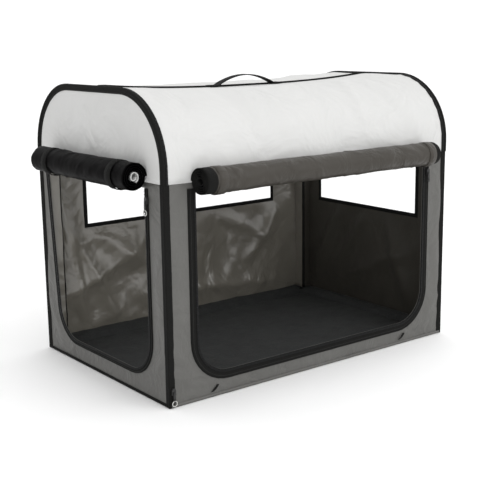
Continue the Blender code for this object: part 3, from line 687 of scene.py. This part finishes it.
for vert in bm.verts:
    x, y = vert.co.x * mat_high.x, vert.co.y * mat_high.y
    edge_gap = min(mat_high.x - abs(x), mat_high.y - abs(y))
    swell = math.sqrt(max(0.0, 1 - (1 - min(1.0, edge_gap / MAT_ROUND)) ** 2))
    top = mat_low.z + (mat_high.z - mat_low.z) * (MAT_EDGE_SHARE + (1 - MAT_EDGE_SHARE) * swell)
    vert.co = Vector((x, y, top + 0.0009 * noise(x * 22, y * 22) + 0.0012 * noise(x * 5, y * 5, 4) * swell))
for vert in bmesh.ops.extrude_face_region(bm, geom=bm.faces[:])["geom"]:
    if isinstance(vert, bmesh.types.BMVert):
        vert.co.z = mat_low.z
bmesh.ops.recalc_face_normals(bm, faces=bm.faces)
mat = show("fleece_mat_pad", bm, fleece, "base")
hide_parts("fleece_mat")

rings = []
for inwards, rise in BORDER_SLOPE:
    x, y = right_low.x - BORDER_CLEAR - inwards * BORDER_END_SHARE, back_low.y - BORDER_CLEAR - inwards
    corners = ((x, y), (-x, y), (-x, -y), (x, -y), (x, y))
    ring = []
    for k in range(BORDER_STEPS):
        quarter, part = divmod(4 * k / BORDER_STEPS, 1)
        (x0, y0), (x1, y1) = corners[int(quarter)], corners[int(quarter) + 1]
        px, py = x0 + (x1 - x0) * part, y0 + (y1 - y0) * part
        ring.append(Vector((px, py, rise + 0.0007 * noise(px * 19, py * 19, inwards * 20))))
    rings.append(ring)
bm = bmesh.new()
sweep(bm, rings, closed_ring=True)
border = thickened(show("fleece_mat_border", bm, fleece, "base"), LINING)
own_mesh(border)


# Under the mat lies a panel of black coated cloth over a thin board. The frame round and above it is steel
# tube in a dark satin powder coat, its corners are moulded in black plastic, and the zips' sliders are
# black coated metal.
TUBE_WORDS = ("base_rail", "base_bar", "top_rail", "top_bar", "_leg_", "roof_hoop")


def speckled(name, roughness, dark, light, scale, relief=0.0, depth=0.0005, metallic=0.0, gloss=0.5):
    """A plain coat or moulding with a fine speckle in its colour and its surface."""
    made, shader, place = finish_named(name, roughness, metallic=metallic, gloss=gloss)
    speck = place.mottle(scale)
    blended(shader, speck, dark, light)
    if relief:
        raised(shader, speck, relief, depth)
    return made


panel_finish = woven("coated_floor_cloth", (0.03, 0.03, 0.03), (0.05, 0.05, 0.05), 0.6, 0.25, pitch=0.0014)
coat = speckled(
    "powder_coated_steel", 0.38, (0.05, 0.05, 0.052), (0.09, 0.09, 0.093), 700.0, 0.25, 0.0006, metallic=0.6
)
moulded = speckled(
    "moulded_black_plastic", 0.5, (0.007, 0.007, 0.0075), (0.014, 0.014, 0.0145), 1200.0, 0.3, gloss=0.2
)
slider_metal = speckled(
    "black_coated_zip", 0.4, (0.015, 0.015, 0.015), (0.045, 0.045, 0.045), 300.0, 0.15, 0.0004,
    metallic=0.3, gloss=0.4,
)
for node_name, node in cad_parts.items():
    if any(word in node_name for word in TUBE_WORDS):
        look = coat
    elif "bracket" in node_name:
        look = moulded
    elif node_name == "floor_panel":
        look = panel_finish
    elif node_name.endswith(("_slider", "_pull")):
        look = slider_metal
    else:
        look = black_tape
    node.data.materials.clear()
    node.data.materials.append(look)


# The roof is one light-grey panel from wall to wall, sewn to the dark walls along the colour split. It is
# held up by the two hoops only, so it sags between them and puckers at the hoop bindings. Two flat panels
# of the same cloth fill the hoops' outline at its ends.
SHOULDER = 0.150
SAG = 0.014
SAG_REACH = 0.3715
ROOF_STEPS = 96
ROOF_FOLDS = (
    ((0.14, 0.10), (0.20, 0.30), 0.011, 0.0042),
    ((0.17, 0.36), (0.26, 0.52), 0.014, 0.0040),
    ((0.30, 0.40), (0.24, 0.60), 0.018, 0.0032),
    ((0.27, 0.06), (0.22, 0.24), 0.012, -0.0030),
    ((-0.30, 0.34), (-0.20, 0.55), 0.022, -0.0032),
    ((-0.36, 0.10), (-0.30, 0.40), 0.018, 0.0036),
    ((-0.16, 0.06), (-0.20, 0.26), 0.016, -0.0032),
    ((0.02, 0.10), (0.10, 0.34), 0.020, -0.0034),
    ((-0.10, 0.30), (0.12, 0.24), 0.018, 0.0026),
)
PUCKER = 0.0009
PUCKER_PLACE = 0.384
PUCKER_REACH = 0.016
roof_top = roof_high.z
light_cloth = woven(
    "light_grey_polyester", (0.53, 0.53, 0.522), (0.63, 0.63, 0.622), 0.78, 0.10, crease=0.012
)


def end_outline(margin, steps=16, flat_steps=6, wall_steps=2):
    """The end outline over the roof from one split line to the other, drawn in by a margin."""
    half = half_y - margin
    radius = SHOULDER - margin
    centre_y = half_y - SHOULDER
    centre_z = roof_top - SHOULDER
    front_rise = [(-half, split_z + (centre_z - split_z) * i / wall_steps) for i in range(wall_steps)]
    front = corner_arc((-centre_y, centre_z), radius, 180, 90, steps)
    flat = [(-centre_y + 2 * centre_y * i / flat_steps, roof_top - margin) for i in range(1, flat_steps)]
    back = corner_arc((centre_y, centre_z), radius, 90, 0, steps)
    return front_rise + front + flat + back + [(-y, z) for y, z in front_rise[::-1]]


def outward(line, index):
    """The way straight out from the end outline at one of its points."""
    before, after = line[max(index - 1, 0)], line[min(index + 1, len(line) - 1)]
    way = Vector((0, after[0] - before[0], after[1] - before[1])).normalized()
    return Vector((0, -way.z, way.y))


def roof_sag(x, y, z):
    along = max(0.0, 1 - (abs(x) / SAG_REACH) ** 2.6)
    rise = max(0.0, (z - roof_top + SHOULDER) / SHOULDER)
    crest = 1 - 0.42 * math.exp(-(((y - 0.10) / 0.06) ** 2)) - 0.2 * math.exp(-(((y + 0.12) / 0.05) ** 2))
    return SAG * along * rise * crest


outline = end_outline(CLOTH / 2)
lengths = [0.0]
for (y0, z0), (y1, z1) in zip(outline, outline[1:]):
    lengths.append(lengths[-1] + math.hypot(y1 - y0, z1 - z0))
rings = []
for i in range(ROOF_STEPS + 1):
    x = roof_high.x * (2 * i / ROOF_STEPS - 1)
    ring = []
    for index, ((y, z), along) in enumerate(zip(outline, lengths)):
        loose = fade(SAG_REACH - abs(x), 0.05) * fade(z - split_z, 0.03) * fade(abs(y), 0.03)
        puff = 0.0024 * noise(x * 5.5, along * 6, 2.2) + 0.0008 * noise(x * 16, along * 12, 8)
        for crease in ROOF_FOLDS:
            puff += fold(x, along, *crease)
        pucker = PUCKER * math.sin(along * 210) * math.exp(-((PUCKER_PLACE - abs(x)) / PUCKER_REACH) ** 2)
        out = outward(outline, index) * (puff * loose + pucker * (z > split_z + 0.02))
        ring.append(Vector((x, y, z - roof_sag(x, y, z))) + out)
    rings.append(ring)
bm = bmesh.new()
sweep(bm, rings)
roof = thickened(show("roof_cover_cloth", bm, light_cloth, "top_frame"), CLOTH)
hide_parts("roof_cover")
size = (2 * roof_high.x, lengths[-1])
fold_flat(roof, "top_frame")

panel = end_outline(0.0004, steps=12, flat_steps=2, wall_steps=1)
for side_name, side in SIDES:
    bm = cut_cloth(panel, [])
    for vert in bm.verts:
        y, z = vert.co.x, vert.co.y
        loose = min(fade(half_y - abs(y), 0.05), fade(z - split_z, 0.02), fade(roof_top - z, 0.03))
        bulge = 0.0016 * noise(y * 7, z * 7, side * 3) * loose
        vert.co = Vector((side * (half_x - CLOTH / 2 + bulge), y, z))
    bmesh.ops.recalc_face_normals(bm, faces=bm.faces)
    end = thickened(show(f"roof_end_{side_name}_cloth", bm, light_cloth, "top_frame"), CLOTH)
    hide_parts(f"roof_end_{side_name}")
    size, hoop = (2 * half_y, roof_top - split_z), f"roof_hoop_{side_name}"
    inside_area(panel)
    fold_flat(end, "top_frame")


# Black bindings are folded tape sewn over each raw corner: one up every corner of the walls, one over each
# hoop, and a flat hem round the foot. A cord inside rounds the edge, a zip's teeth run along the hoops, and
# rows of stitches in dark thread hold the tape down.
CORNER_BAND = 0.0122
CORNER_BEAD = 0.0026
HOOP_BAND = 0.0104
HOOP_BEAD = 0.0042
FOOT = 0.0012
HEM_HIGH = 0.0074
HEM_CORNER = 0.006
HEM_SECTION = (
    (0.0003, FOOT), (0.0016, FOOT), (0.0030, 0.0030), (0.0026, 0.0062), (0.0016, HEM_HIGH), (0.0003, HEM_HIGH)
)
CORNER_STEPS = 40
TOOTH_PITCH = 0.0026
TEETH_LANES = (-0.0078, -0.0058)
TEETH_PROUD = 0.0021
HOOP_TOOTH = (0.0017, TOOTH_PITCH * 0.55, 0.0011)
STITCH_PITCH = 0.0034
STITCH = (0.0023, 0.0006, 0.0005)
thread = speckled("dark_thread", 0.7, (0.022, 0.022, 0.021), (0.045, 0.045, 0.043), 900.0, gloss=0.2)


def corner_section(back, bead):
    """A rounded angle section as steps across and out: over one face, round the cord, down the other."""
    flat = [(-back, 0.0), (-back, 0.0012), (-back + 0.002, 0.0019), (-0.0045, 0.0017), (-0.0022, bead * 0.9)]
    turn = [(-0.0004, bead), (bead * 0.55, bead * 0.95), (bead * 0.95, bead * 0.55), (bead, -0.0004)]
    down = [(b, a) for a, b in flat[::-1]]
    return flat + turn + down + [(0.0003, 0.0003)]


def facing(first, second, third):
    """The turn that lays a block's three sides along three directions."""
    return Matrix((first, second, third)).transposed().to_4x4()


def stitched(name, runs, body):
    bm = bmesh.new()
    for start, end, out in runs:
        run = end - start
        way = run.normalized()
        count = max(1, round(run.length / STITCH_PITCH))
        for k in range(count):
            block(bm, start + run * ((k + 0.5) / count), STITCH, facing(way, out.cross(way), out))
    sewn(name, bm, thread, body, smooth=30)


for name, side, edge in (
    ("front_left", -1, -1), ("back_left", -1, 1), ("front_right", 1, -1), ("back_right", 1, 1)
):
    rings = []
    for i in range(CORNER_STEPS + 1):
        z = FOOT + (split_z - FOOT) * i / CORNER_STEPS
        wobble = 1 + 0.05 * noise(z * 30, side * 2.0, edge * 3.0)
        ring = []
        for a, b in corner_section(CORNER_BAND, CORNER_BEAD):
            ring.append(Vector((side * (half_x + a * wobble), edge * (half_y + b * wobble), z)))
        rings.append(ring)
    sewn(f"corner_binding_{name}", tube(rings), black_tape, "base", "wall_binding")

path = []
for cx, cy, first in ((1, 1, 0), (-1, 1, 90), (-1, -1, 180), (1, -1, 270)):
    centre = (cx * (half_x - HEM_CORNER), cy * (half_y - HEM_CORNER))
    path += corner_arc(centre, HEM_CORNER, first, first + 90, 6)
rings = []
for i, (x, y) in enumerate(path):
    before, after = path[i - 1], path[(i + 1) % len(path)]
    way = Vector((after[0] - before[0], after[1] - before[1])).normalized()
    rings.append([Vector((x, y, z)) + Vector((way.y, -way.x, 0)) * a for a, z in HEM_SECTION])
bm = tube(rings, closed_path=True)
for face in bm.faces:
    face.material_index = 1 if face.calc_center_median().y < -half_y + 0.002 else 0
sewn("base_hem_binding", bm, [black_tape, dark_cloth], "base", "wall_binding")

line = end_outline(0.0, steps=20, flat_steps=8)
section = corner_section(HOOP_BAND, HOOP_BEAD)
for side_name, side in SIDES:
    rings = []
    for i, (y, z) in enumerate(line):
        rings.append([Vector((side * (half_x + a), y, z)) + outward(line, i) * b for a, b in section])
    teeth = bmesh.new()
    runs = []
    for (y0, z0), (y1, z1) in zip(line, line[1:]):
        first, last = Vector((0, y0, z0)), Vector((0, y1, z1))
        way = (last - first).normalized()
        out = Vector((0, -way.z, way.y))
        over_roof = Vector((side * (half_x - HOOP_BAND + 0.0016), 0, 0)) + out * 0.0017
        on_end = Vector((side * (half_x + 0.0017), 0, 0)) - out * (HOOP_BAND - 0.0022)
        runs.append((first + over_roof, last + over_roof, out))
        runs.append((first + on_end, last + on_end, Vector((side, 0, 0))))
        turned = facing(Vector((1, 0, 0)), way, out)
        for k in range(int((last - first).length / TOOTH_PITCH)):
            spot = first + way * (k + 0.5) * TOOTH_PITCH + out * TEETH_PROUD
            for lane in TEETH_LANES:
                block(teeth, spot + Vector((side * (half_x + lane), 0, 0)), HOOP_TOOTH, turned)
    sewn(f"hoop_binding_{side_name}_tape", tube(rings), black_tape, "top_frame", f"hoop_binding_{side_name}")
    stitched(f"hoop_binding_{side_name}_stitches", runs, "top_frame")
    sewn(f"hoop_zip_teeth_{side_name}", teeth, moulded, "top_frame")


# The ridge seam is narrow black tape sewn along the roof's middle. The carry handle is black webbing sewn
# down over it at both feet, with a cross-stitched box at each end.
RIDGE_HALF = 0.0048
RIDGE_HEIGHT = 0.0014
RIDGE_SECTION = (
    (-1, 0), (-0.9, 0.8), (-0.4, 1.1), (-0.3, 2.2), (0, 2.7), (0.3, 2.2), (0.4, 1.1), (0.9, 0.8), (1, 0)
)
HANDLE_HALF_SPAN = 0.080
HANDLE_RISE = 0.022
HANDLE_HALF_WIDTH = 0.0125
WEB = 0.0022
WEB_SECTION = (
    (-1, 0.15), (-0.94, 0.0), (0.94, 0.0), (1, 0.15), (1, 0.85), (0.94, 1.0), (-0.94, 1.0), (-1, 0.85)
)
webbing = ribbed("black_webbing", (0.008, 0.008, 0.008), (0.02, 0.02, 0.02), 0.0022, 0.6)


def ridge_z(x):
    return roof_top - roof_sag(x, 0.0, roof_top)


def steps_along(low, high, count):
    return [low + (high - low) * i / count for i in range(count + 1)]


ridge_low, ridge_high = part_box("ridge_binding")
rings = []
for x in steps_along(ridge_low.x, ridge_high.x, 80):
    wander, seat = 0.0012 * noise(x * 6, 1.1), ridge_z(x) + 0.0004
    rings.append([Vector((x, wander + a * RIDGE_HALF, seat + b * RIDGE_HEIGHT)) for a, b in RIDGE_SECTION])
sewn("ridge_binding_tape", tube(rings), black_tape, "top_frame", "ridge_binding")

handle_low, handle_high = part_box("carry_handle")
runs = []
box_in, box_out, box_side = HANDLE_HALF_SPAN + 0.002, handle_high.x - 0.003, HANDLE_HALF_WIDTH - 0.003
for side in (-1, 1):
    corners = []
    for x, y in ((box_in, -box_side), (box_in, box_side), (box_out, box_side), (box_out, -box_side)):
        corners.append(Vector((side * x, y, ridge_z(x) + 0.0022 + WEB)))
    for first, last in ((0, 1), (1, 2), (2, 3), (3, 0), (0, 2), (1, 3)):
        runs.append((corners[first], corners[last], Vector((0, 0, 1))))
stitched("carry_handle_stitches", runs, "top_frame")
rings = []
for x in steps_along(handle_low.x, handle_high.x, 48):
    share = fade(HANDLE_HALF_SPAN - abs(x), HANDLE_HALF_SPAN)
    seat = ridge_z(x) + 0.0020 + HANDLE_RISE * math.sin(share * math.pi / 2) ** 0.8
    gather = HANDLE_HALF_WIDTH * (1 - 0.25 * share ** 0.5)
    rings.append([Vector((x, a * gather, seat + b * WEB)) for a, b in WEB_SECTION])
sewn("carry_handle_webbing", tube(rings), webbing, "top_frame", "carry_handle")


# Zip tapes run round both doorways: woven black tape with a row of coil teeth along the inner edge where
# the door was unzipped, and a soft roll at the outer edge where the tape is turned under.
ZIP_CLEAR = 0.0003
ZIP_SECTION = (
    (0, 0.0), (0.02, 0.0013), (0.10, 0.0024), (0.22, 0.0015),
    (0.6, 0.0013), (0.9, 0.0015), (0.97, 0.0013), (1, 0.0),
)
ZIP_STEP = 0.012
ZIP_TOOTH = (TOOTH_PITCH * 0.5, 0.0042, 0.0014)


def zip_tape(side_name, door, width, turned_under, place, top, lean=0.0):
    """One tape with a stitched seam behind its soft roll, and coil teeth on its inner edge."""
    outer = doorway(*inset(door, turned_under), top, lean)
    inner = doorway(*inset(door, width), top, lean)
    rings = []
    for (ax, az), (bx, bz) in zip(outer, inner):
        rings.append([place(ax + (bx - ax) * at, az + (bz - az) * at, out) for at, out in ZIP_SECTION])
    finer = []
    for first, second in zip(rings, rings[1:]):
        steps = max(1, int((first[0] - second[0]).length / ZIP_STEP))
        finer += [[a.lerp(b, k / steps) for a, b in zip(first, second)] for k in range(steps)]
    finer.append(rings[-1])
    out = (place(0, 0, 1) - place(0, 0, 0)).normalized()
    runs = []
    teeth = bmesh.new()
    for first, second in zip(finer, finer[1:]):
        runs.append((*(ring[3].lerp(ring[4], 0.25) + out * 0.0001 for ring in (first, second)), out))
        start, end = (ring[5].lerp(ring[4], 0.2) for ring in (first, second))
        run = end - start
        way = run.normalized()
        for k in range(max(1, round(run.length / TOOTH_PITCH))):
            spot = start + run * ((k + 0.5) * TOOTH_PITCH / max(run.length, TOOTH_PITCH))
            block(teeth, spot + out * 0.0004, ZIP_TOOTH, facing(way, out.cross(way), out))
    sewn(f"{side_name}_zip_band", tube(finer), black_tape, "base", f"{side_name}_door_zip_tape")
    stitched(f"{side_name}_zip_stitches", runs, "base")
    sewn(f"{side_name}_zip_teeth", teeth, moulded, "base")


zip_tape("front", front_door, FRONT_TAPE_WIDTH, 0.006,
         lambda x, z, out: Vector((x, front_low.y - ZIP_CLEAR - out, z)), front_tape_high.z)
zip_tape("side", side_door, SIDE_TAPE_WIDTH, 0.008,
         lambda y, z, out: Vector((left_low.x - ZIP_CLEAR - out, y, z)), side_tape_high.z, side_lean)


# The doors are rolled up and tied with two straps each. The front door shows its dark-grey cloth with a
# black bound edge at both ends, and the side door its black coated mesh, with painted light in the core: its
# inner turns take the pale roof cloth for the light that shows through the open middle of the roll.
TURNS = 5
TURN_STEPS = 26
ROLL_STEPS = 84
CORE = 0.005
ROLL_CLOTH = 0.0015
TIE_TURN = 324
TIE_STEPS = 44
TIE_SECTION = ((0, 0.0), (0.05, 1.0), (0.5, 1.15), (0.95, 1.0), (1, 0.0), (0.5, -0.2))
rolled_cloth = woven(
    "rolled_grey_polyester", (0.040, 0.0365, 0.0315), (0.058, 0.0525, 0.0450), 0.36, 0.08,
    sheen=0.0, gloss=0.16, crease=0.010, creases=16.0,
)
coated, coated_shader, coated_place = finish_named("coated_black_mesh", 0.42, gloss=0.02)
weave = coated_place.node("ShaderNodeTexVoronoi", {}, {"Vector": coated_place, "Scale": 620.0})
cloud = coated_place.mottle(22.0)
blended(coated_shader, cloud, (0.0012, 0.001, 0.0012), (0.003, 0.0027, 0.0028))
raised(coated_shader, weave * 0.0001 + cloud * 0.0015, 1.0, 1.0)


def pinch(along, angle, share, crushed):
    """The share of its radius that a turn keeps where the roll is squeezed."""
    dent = math.exp(-(((along - crushed) / 0.024) ** 2)) * max(0.0, math.cos(angle - 0.35)) ** 2
    return 1 - dent * (0.06 + 0.13 * math.sin(along * 170 - angle * 3)) * share


def door_roll(name, node, low, high, radius, place, looks, seed, look_number, crushed=None):
    """The roll as one long spiral of cloth, looser on its outside turn."""
    count = TURNS * TURN_STEPS
    rings = []
    for along in steps_along(low, high, ROLL_STEPS):
        ring = []
        for k in range(count + 1):
            share = k / count
            angle = 2 * math.pi * TURNS * share + math.pi
            r = CORE + (radius + 0.0006 - CORE) * share ** 0.9
            near = noise(along * 17, math.cos(angle) * 1.3 + seed, math.sin(angle) * 1.3)
            twist = noise(along * 9 + math.sin(angle) * 0.6, seed * 2, share * 2)
            slant = math.sin(along * 46 + 1.6 * angle + 2.4 * noise(along * 12, seed, share))
            crease = max(0.0, 1 - 2.2 * abs(slant)) * max(0.0, noise(along * 7, seed * 3, math.cos(angle)))
            r *= 1 + (0.045 * near + 0.03 * twist + 0.13 * crease) * min(1, share * 1.3)
            if crushed:
                r *= pinch(along, angle, share, crushed)
            shifted = along + 0.002 * math.sin(angle + seed)
            ring.append(place(shifted, r * math.cos(angle), r * math.sin(angle)))
        rings.append(ring)
    bm = bmesh.new()
    for i, row in enumerate(sweep(bm, rings)[:-1]):
        for k, vert in enumerate(row[:-1]):
            for face in vert.link_faces:
                face.material_index = look_number(i / ROLL_STEPS, k / count)
    made = thickened(show(name, bm, looks, "top_frame"), ROLL_CLOTH)
    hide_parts(node)


roll_low, roll_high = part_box("front_door_roll")
side_roll_low, side_roll_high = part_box("side_door_roll")
front_middle = (roll_low + roll_high) / 2
side_middle = (side_roll_low + side_roll_high) / 2
front_radius = (roll_high.z - roll_low.z) / 2
side_radius = (side_roll_high.z - side_roll_low.z) / 2


def round_front(along, out, rise):
    return Vector((along, front_middle.y - out, front_middle.z + rise))


def round_side(along, out, rise):
    return Vector((side_middle.x - out, along, side_middle.z + rise))


door_roll(
    "front_door_roll_cloth", "front_door_roll", roll_low.x, roll_high.x - 0.010, front_radius, round_front,
    [rolled_cloth, black_tape], seed=1.7,
    look_number=lambda at, depth: 1 if at < 0.038 or at > 0.972 or depth < 0.8 else 0, crushed=-0.258,
)
# Painted light: the side roll's inner turns are the pale roof cloth, for the light seen through its open
# middle.
door_roll(
    "side_door_roll_mesh", "side_door_roll", side_roll_low.y, side_roll_high.y, side_radius, round_side,
    [coated, light_cloth], seed=4.4, look_number=lambda at, depth: 1 if depth < 0.24 else 0,
)
front_tie = (0, front_radius, round_front, rolled_cloth, "dark_cloth")
side_tie = (1, side_radius, round_side, black_tape, "black_binding")
for number in range(4):
    name = f"{'side' if number > 1 else 'front'}_door_tie_{number % 2 + 1}"
    axis, radius, place, look, slot = side_tie if number > 1 else front_tie
    low, high = (corner[axis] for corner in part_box(name))
    rings = []
    for k in range(TIE_STEPS + 1):
        angle = math.radians(TIE_TURN * (k / TIE_STEPS - 0.5))
        ring = []
        for share, lift in TIE_SECTION:
            along = low + (high - low) * share
            r = radius + 0.0004 + 0.0013 * lift + 0.0004 * noise(along * 40, angle * 2, number)
            ring.append(place(along, r * math.cos(angle), r * math.sin(angle)))
        rings.append(ring)
    tie = show(f"{name}_webbing", tube(rings), look, "top_frame")
    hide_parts(name)


# Two ground loops of doubled webbing lie aslant on the front hem, sewn down at the foot and the head and a
# little proud between them, so that a peg goes through.
LOOP_WEBBING = 0.0011
LOOP_HALF = 0.0032
LOOP_PROUD = 0.0024
for name in ("ground_loop_left", "ground_loop_right"):
    low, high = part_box(name)
    start = Vector((low.x + LOOP_HALF, low.y, low.z + 0.001))
    end = Vector((high.x - LOOP_HALF, low.y, high.z - 0.001))
    across = Vector((LOOP_HALF, 0, 0))
    outwards = Vector((0, -LOOP_WEBBING, 0))
    rings = []
    for share in steps_along(0, 1, 12):
        proud = LOOP_PROUD * math.sin(math.pi * share) ** 0.7
        seat = start.lerp(end, share) + Vector((0, -proud, 0))
        inner, outer = [seat - across, seat + across], [seat + across * 0.9, seat - across * 0.9]
        rings.append(inner + [corner + outwards for corner in outer])
    sewn(f"{name}_webbing", tube(rings), black_tape, "base", name)

# Pale moulded rings hang from the cover zip's and the side zip's pulls, to be hooked with a finger. Each is
# one round bar bent to a circle.
RING_RADIUS = 0.0055
RING_WIRE = 0.0009
RING_STEPS = 28
WIRE_STEPS = 8
pale = speckled("pale_ring_plastic", 0.4, (0.45, 0.45, 0.43), (0.62, 0.62, 0.6), 200.0)
for name, across in (("cover_zip", Vector((1, 0, 0))), ("side_zip", Vector((0, 1, 0)))):
    low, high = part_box(f"{name}_pull")
    centre = Vector(((low.x + high.x) / 2, (low.y + high.y) / 2, low.z + 0.005 - RING_RADIUS))
    thick = across.cross(Vector((0, 0, 1)))
    rings = []
    for k in range(RING_STEPS):
        angle = 2 * math.pi * k / RING_STEPS
        out = across * math.cos(angle) + Vector((0, 0, 1)) * math.sin(angle)
        ring = []
        for j in range(WIRE_STEPS):
            turn = 2 * math.pi * j / WIRE_STEPS
            reach = RING_RADIUS + RING_WIRE * math.cos(turn)
            ring.append(centre + out * reach + thick * RING_WIRE * math.sin(turn))
        rings.append(ring)
    ring_piece = show(f"{name}_pull_ring", tube(rings, closed_path=True), pale, f"{name}_pull")

# A plain pale floor that the crate stands on. It is one wide flat sheet that is there for the picture only
# and is no piece of the crate.
pale_floor = bpy.data.materials.new("pale_floor")
pale_floor.use_nodes = True
floor_shader = pale_floor.node_tree.nodes["Principled BSDF"]
floor_shader.inputs["Base Color"].default_value = (0.96, 0.96, 0.96, 1)
floor_shader.inputs["Roughness"].default_value = 0.9
bm = bmesh.new()
bmesh.ops.create_grid(bm, x_segments=1, y_segments=1, size=30.0)
floor_mesh = bpy.data.meshes.new("studio_floor")
bm.to_mesh(floor_mesh)
bm.free()
floor_mesh.materials.append(pale_floor)
studio_floor = bpy.data.objects.new("studio_floor", floor_mesh)
bpy.context.scene.collection.objects.link(studio_floor)
